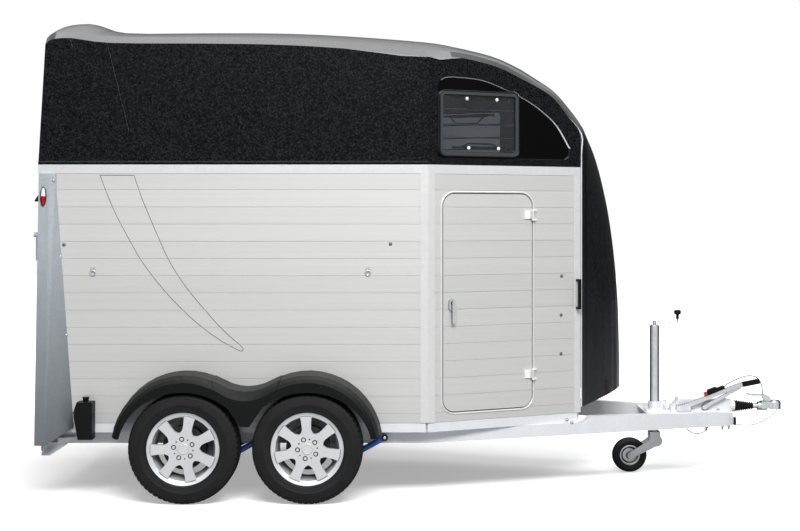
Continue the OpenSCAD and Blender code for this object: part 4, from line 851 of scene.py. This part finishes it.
def marker_lens(side, half):
    """Half of the oval lens, domed, with shallow prism ribs across it."""
    place = on_post(side)
    points, faces = [], []
    rows, cols = 20, 12
    for i in range(rows + 1):
        b = half * i / rows
        wide = math.sqrt(max(0.0, 1 - b * b))
        for j in range(cols + 1):
            a = -1 + 2 * j / cols
            dome = math.sqrt(max(0.0, 1 - b * b)) * math.sqrt(max(0.0, 1 - a * a * 0.9))
            rib = PRISM_DEPTH * (i % 2)
            points.append(place(a * wide * MARKER_A, b * MARKER_B,
                                LENS_BASE + LENS_DOME * dome - rib))
    n = cols + 1
    for i in range(rows):
        for j in range(cols):
            faces.append((i * n + j, i * n + j + 1, (i + 1) * n + j + 1, (i + 1) * n + j))
    return points, faces


for side_name, side in SIDES.items():
    piece("marker_rim_" + side_name, *marker_rim(side), "black_frame")
    piece("marker_white_lens_" + side_name, *marker_lens(side, 1), "white_lens",
          slot="white_parts", smooth=60)
red_lenses = piece("marker_red_lenses", *joined([marker_lens(s, -1) for s in SIDES.values()]),
                   "red_lens", smooth=60)
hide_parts("side_markers")


# Fasteners on the walls and posts

# (x, height, distance out of the wall)
POST_BOLTS = [(-2.166, 1.849, 0.013), (-2.128, 1.408, 0.003), (-2.095, 0.951, 0.003)]
# (x, height)
WALL_BOLTS = [(-2.108, 1.476), (-0.209, 1.480)]
# (column, row) in the camera's picture
FRONT_BOLTS_PX = [(561.6, 276), (561, 315), (561, 353.6)]
FRONT_SLOPE = 0.484
WALL_BOLT_SIZE = (0.008, 0.006)
POST_BOLT_SIZE = (0.007, 0.006)


def front_wall_foot(px, py, side):
    """Foot of a fastener on the front wall, from where the camera sees it."""
    k = (px - IMAGE_WIDTH / 2) / FOCAL_PX
    near = -CAMERA_PLACE[1] - HALF_WIDTH - KINK_X * FRONT_SLOPE
    x = (near * k + CAMERA_PLACE[0]) / (1 - FRONT_SLOPE * k)
    deep = near + FRONT_SLOPE * x
    return on_front_wall(side)((x - KINK_X) / WALL_COS,
                               CAMERA_PLACE[2] + (HORIZON_PX - py) * deep / FOCAL_PX, 0)


for side_name, side in SIDES.items():
    out = Vector((0, side, 0))
    wall = on_side_wall(side)
    out_front = (on_front_wall(side)(0, 0, 1) - on_front_wall(side)(0, 0, 0)).normalized()
    places = [(wall(x, z, 0), out) for x, z in WALL_BOLTS]
    places += [(front_wall_foot(px, py, side), out_front) for px, py in FRONT_BOLTS_PX]
    piece("wall_bolts_" + side_name, *domed_bolts(places, *WALL_BOLT_SIZE), "bolt_steel",
          slot="bright_steel")
    places = [(wall(x, z, off), out) for x, z, off in POST_BOLTS]
    piece("post_bolts_" + side_name, *domed_bolts(places, *POST_BOLT_SIZE), "bright_steel")


# Drawbar and running gear: bolts, coloured plug and grip, snap hook, dampers' eyes

LEVER_Y = -0.058
LEVER_START = Vector((1.640, 0.418))
LEVER_RUN = (Vector((2.035, 0.572)) - LEVER_START).normalized()
LEVER_SIDE = Vector((-LEVER_RUN.y, LEVER_RUN.x))
GRIP_START = Vector((2.030, 0.568))
GRIP_END = Vector((2.141, 0.590))
GRIP_BARE = 0.08    # share of the grip before its coloured inlay starts
INLAY_BAND = (-0.0175, -0.0135)
INLAY_HALF = 0.011
PLUG_OFFSET = 0.024
PLUG_BASE_RUN = (0.170, 0.188)
PLUG_BASE_HALF = 0.0122
PLUG_BASE_HALF_THICK = 0.0165
STOP_OUTLINE = (1.9642, 0.318, 1.977, 0.366)
STOP_YS = (-0.128, -0.104)
HOOK_Y = -0.034
HOOK_WIRE_R = 0.0022
# (x, height) along the wire
HOOK_CURVE = [(2.104, 0.352), (2.098, 0.346), (2.098, 0.338), (2.104, 0.331), (2.120, 0.329),
              (2.150, 0.331), (2.166, 0.336), (2.170, 0.343), (2.163, 0.348)]

DAMPER_EYE_XS = (-0.243, -0.949)
DAMPER_EYE_Y = 0.8632
DAMPER_EYE_Z = 0.352
# (radius, height) of turned pieces
EYE_PROFILE = [(0.009, 0), (0.019, 0), (0.020, 0.002), (0.020, 0.010), (0.019, 0.012),
               (0.009, 0.012)]
PIN_PROFILE = [(0.0085, 0.002), (0.0085, 0.0115), (0.0070, 0.0125), (0.0005, 0.013)]
STUD_PROFILE = [(0.0115, -0.001), (0.0115, 0.008), (0.0060, 0.0085), (0.0060, 0.026),
                (0.0052, 0.028), (0.0005, 0.0282)]

DRAWBAR_SLOPE = 0.700 / 1.954
DRAWBAR_OUTER_Y = 0.800
DRAWBAR_HALF = 0.029
RAIL_BOTTOM_Z = 0.311
STUD_XS = (1.786, 1.897, 1.942)
PLATE_Z = 0.394
PLATE_THICK = 0.008
PLATE_BOLT_XS = (1.700, 1.880)
PLATE_BOLT_Y = 0.050
HOUSING_TOP_Z = 0.467
# (x, height over the housing's top)
HOUSING_BOLTS = ((1.623, 0.005), (1.793, 0.005), (1.930, 0.0))
# (x, height) on the outer faces of the drawbar
FRAME_BOLTS = ((0.862, 0.404), (0.893, 0.386))
LARGE_BOLT_SIZE = (0.0085, 0.009)


def drawbar_outer_y(x):
    """Distance of the slanting drawbar's outer face from the middle."""
    return DRAWBAR_OUTER_Y - (x - KINK_X) * DRAWBAR_SLOPE


def lever_block(start_at, end_at, low, high, half_thick):
    """Block along a line in the lever's plane, between two offsets from it."""
    run = (end_at - start_at).normalized()
    across = Vector((-run.y, run.x))
    corners = [start_at + across * low, end_at + across * low, end_at + across * high,
               start_at + across * high]
    return flat_block([tuple(c) for c in corners], LEVER_Y - half_thick, LEVER_Y + half_thick,
                      lengthwise)


def wire(points, radius, steps=10):
    """Round wire through points that lie close to one upright plane."""
    rails = []
    for i, point in enumerate(points):
        run = (points[min(i + 1, len(points) - 1)] - points[max(i - 1, 0)]).normalized()
        across = Vector((0, 1, 0))
        up = run.cross(across).normalized()
        rails.append([point + radius * (up * math.cos(a) + across * math.sin(a))
                      for a in (2 * math.pi * k / steps for k in range(steps))])
    return swept(rails, False)


def snap_hook():
    """Wire hook that the breakaway line ends in, closed by its own spring arm."""
    points = [Vector((x, HOOK_Y, z)) for x, z in HOOK_CURVE]
    last = len(points) - 1
    smooth = [between(points[max(i - 1, 0)], points[i], points[i + 1],
                      points[min(i + 2, last)], k / 4) for i in range(last) for k in range(4)]
    return wire(smooth + [points[-1]], HOOK_WIRE_R)


plug_off = LEVER_SIDE * PLUG_OFFSET
plug_ends = [LEVER_START + LEVER_RUN * reach + plug_off for reach in PLUG_BASE_RUN]
piece("plug_base", *lever_block(*plug_ends, -PLUG_BASE_HALF, PLUG_BASE_HALF,
                                PLUG_BASE_HALF_THICK), "red_plastic", slot="red_lens")
piece("grip_inlay", *lever_block(GRIP_START + (GRIP_END - GRIP_START) * GRIP_BARE, GRIP_END,
                                 *INLAY_BAND, INLAY_HALF), "red_plastic", slot="red_lens")
piece("snap_hook", *snap_hook(), "bright_steel")
piece("drawbar_stop", *flat_block(rectangle(*STOP_OUTLINE), *STOP_YS, lengthwise),
      "black_plastic")

FORWARD, UP, DOWN = Vector((1, 0, 0)), Vector((0, 0, 1)), Vector((0, 0, -1))
for side_name, side in SIDES.items():
    out = Vector((0, side, 0))
    centres = [Vector((x, side * DAMPER_EYE_Y, DAMPER_EYE_Z)) for x in DAMPER_EYE_XS]
    eyes = [turned(EYE_PROFILE, 20, centre, out, FORWARD) for centre in centres]
    pins = [turned(PIN_PROFILE, 14, centre, out, FORWARD) for centre in centres]
    piece("damper_eyes_" + side_name, *joined(eyes), "black_rubber")
    piece("damper_pins_" + side_name, *joined(pins), "bright_steel")

housing_bolts = [(Vector((x, side * PLATE_BOLT_Y, PLATE_Z + PLATE_THICK)), UP)
                 for x in PLATE_BOLT_XS for side in SIDES.values()]
housing_bolts += [(Vector((x, 0, HOUSING_TOP_Z + lift)), UP) for x, lift in HOUSING_BOLTS]
piece("housing_bolts", *domed_bolts(housing_bolts, *LARGE_BOLT_SIZE), "bright_steel")
studs = [turned(STUD_PROFILE, 12,
                Vector((x, side * (drawbar_outer_y(x) - DRAWBAR_HALF), RAIL_BOTTOM_Z)),
                DOWN, FORWARD) for x in STUD_XS for side in SIDES.values()]
piece("drawbar_bolts", *joined(studs), "bright_steel")
rail_out = Vector((DRAWBAR_SLOPE, 1, 0)).normalized()
for side_name, side in SIDES.items():
    out = Vector((rail_out.x, side * rail_out.y, 0))
    heads = [(Vector((x, side * drawbar_outer_y(x), z)) - out * BOLT_SUNK, out)
             for x, z in FRAME_BOLTS]
    piece("frame_bolts_" + side_name, *domed_bolts(heads, *LARGE_BOLT_SIZE), "bright_steel")


# Studio: white floor, one soft sky and three large soft lamps

FLOOR_SIZE = 60
FLOOR_LIT = (0.34, 0.34, 0.35, 1)
FLOOR_SEEN = (0.92, 0.92, 0.92, 1)
GLOW = {"From Min": 3.0, "From Max": 9.0, "To Min": 0.36, "To Max": 1.0}
SKY_STRENGTH = 0.36
HORIZON_DARK = 0.05
LAMPS = {
    "overhead": {"place": (-0.5, 0, 7.0), "aim": (-0.5, 0, 1), "size": (7, 2.4), "watts": 190,
                 "mirrored": True},
    "front": {"place": (0.9, -7.6, 7.6), "aim": (0.2, 0, 1.4), "size": (6, 3), "watts": 1130,
              "mirrored": True},
    "back": {"place": (2.5, 8, 6.0), "aim": (0, 0, 1), "size": (6, 3), "watts": 260,
             "mirrored": False},
}


def seen_directly(tree):
    """Socket that is 1 for what the eye sees directly or through a pane, and the rays' node."""
    rays = add(tree, "LightPath")
    direct = add(tree, "Math", operation="MAXIMUM",
                 links={0: rays.outputs["Is Camera Ray"], 1: rays.outputs["Is Transmission Ray"]})
    return direct.outputs[0], rays


def studio_sky():
    """White behind the object; in reflections darker near the horizon, like a softbox room."""
    world = bpy.data.worlds.new("studio")
    bpy.context.scene.world = world
    world.use_nodes = True
    tree = world.node_tree
    tree.nodes.clear()
    direct, rays = seen_directly(tree)
    up = add(tree, "SeparateXYZ", links={0: add(tree, "TexCoord").outputs["Generated"]})
    overhead = add(tree, "MapRange", {"From Min": 0.1, "From Max": 0.6, "To Min": HORIZON_DARK},
                   {"Value": up.outputs["Z"]}, interpolation_type="SMOOTHSTEP")
    mirrored = add(tree, "Mix", {2: SKY_STRENGTH},
                   {0: rays.outputs["Is Glossy Ray"], 3: overhead.outputs["Result"]})
    strength = add(tree, "Mix", {3: 1.0}, {0: direct, 2: mirrored.outputs[0]})
    sky = add(tree, "Background", {"Color": WHITE}, {"Strength": strength.outputs[0]})
    add(tree, "OutputWorld", links={"Surface": sky.outputs["Background"]})


def studio_floor():
    """White floor that keeps the object's soft shadow."""
    mesh = bpy.data.meshes.new("studio_floor")
    half = FLOOR_SIZE / 2
    mesh.from_pydata([(x, y, 0) for x, y in rectangle(-half, -half, half, half)],
                     [], [(0, 1, 2, 3)])
    floor = bpy.data.objects.new("studio_floor", mesh)
    bpy.context.scene.collection.objects.link(floor)
    material = bpy.data.materials.new("white_studio_floor")
    material.use_nodes = True
    tree = material.node_tree
    tree.nodes.clear()
    direct, _ = seen_directly(tree)
    # The lamps fade with distance, so the sweep glows more there and stays white to the horizon.
    place = add(tree, "TexCoord").outputs["Object"]
    distance = add(tree, "VectorMath", links={0: place}, operation="LENGTH")
    rising = add(tree, "MapRange", GLOW, {"Value": distance.outputs["Value"]})
    strength = add(tree, "Math", links={0: direct, 1: rising.outputs["Result"]},
                   operation="MULTIPLY")
    # What the floor throws back at the trailer is kept darker than what the eye sees of it.
    paint = add(tree, "Mix", {6: FLOOR_LIT, 7: FLOOR_SEEN}, {0: direct}, data_type="RGBA")
    white = add(tree, "BsdfDiffuse", links={"Color": paint.outputs[2]})
    glow = add(tree, "Emission", {"Color": WHITE}, {"Strength": strength.outputs[0]})
    both = add(tree, "AddShader", links={0: white.outputs["BSDF"], 1: glow.outputs["Emission"]})
    add(tree, "OutputMaterial", links={"Surface": both.outputs["Shader"]})
    mesh.materials.append(material)


def studio_lamps():
    """Large rectangles of light, each turned towards its aim."""
    for name, lamp in LAMPS.items():
        data = bpy.data.lights.new(name + "_lamp", "AREA")
        data.shape = "RECTANGLE"
        data.size, data.size_y = lamp["size"]
        data.energy = lamp["watts"]
        made = bpy.data.objects.new(name + "_lamp", data)
        made.location = lamp["place"]
        made.visible_glossy = lamp["mirrored"]
        aim = Vector(lamp["aim"]) - Vector(lamp["place"])
        made.rotation_euler = aim.to_track_quat("-Z", "Y").to_euler()
        bpy.context.scene.collection.objects.link(made)


studio_sky()
studio_floor()
studio_lamps()
bpy.context.scene.view_settings.view_transform = "Standard"
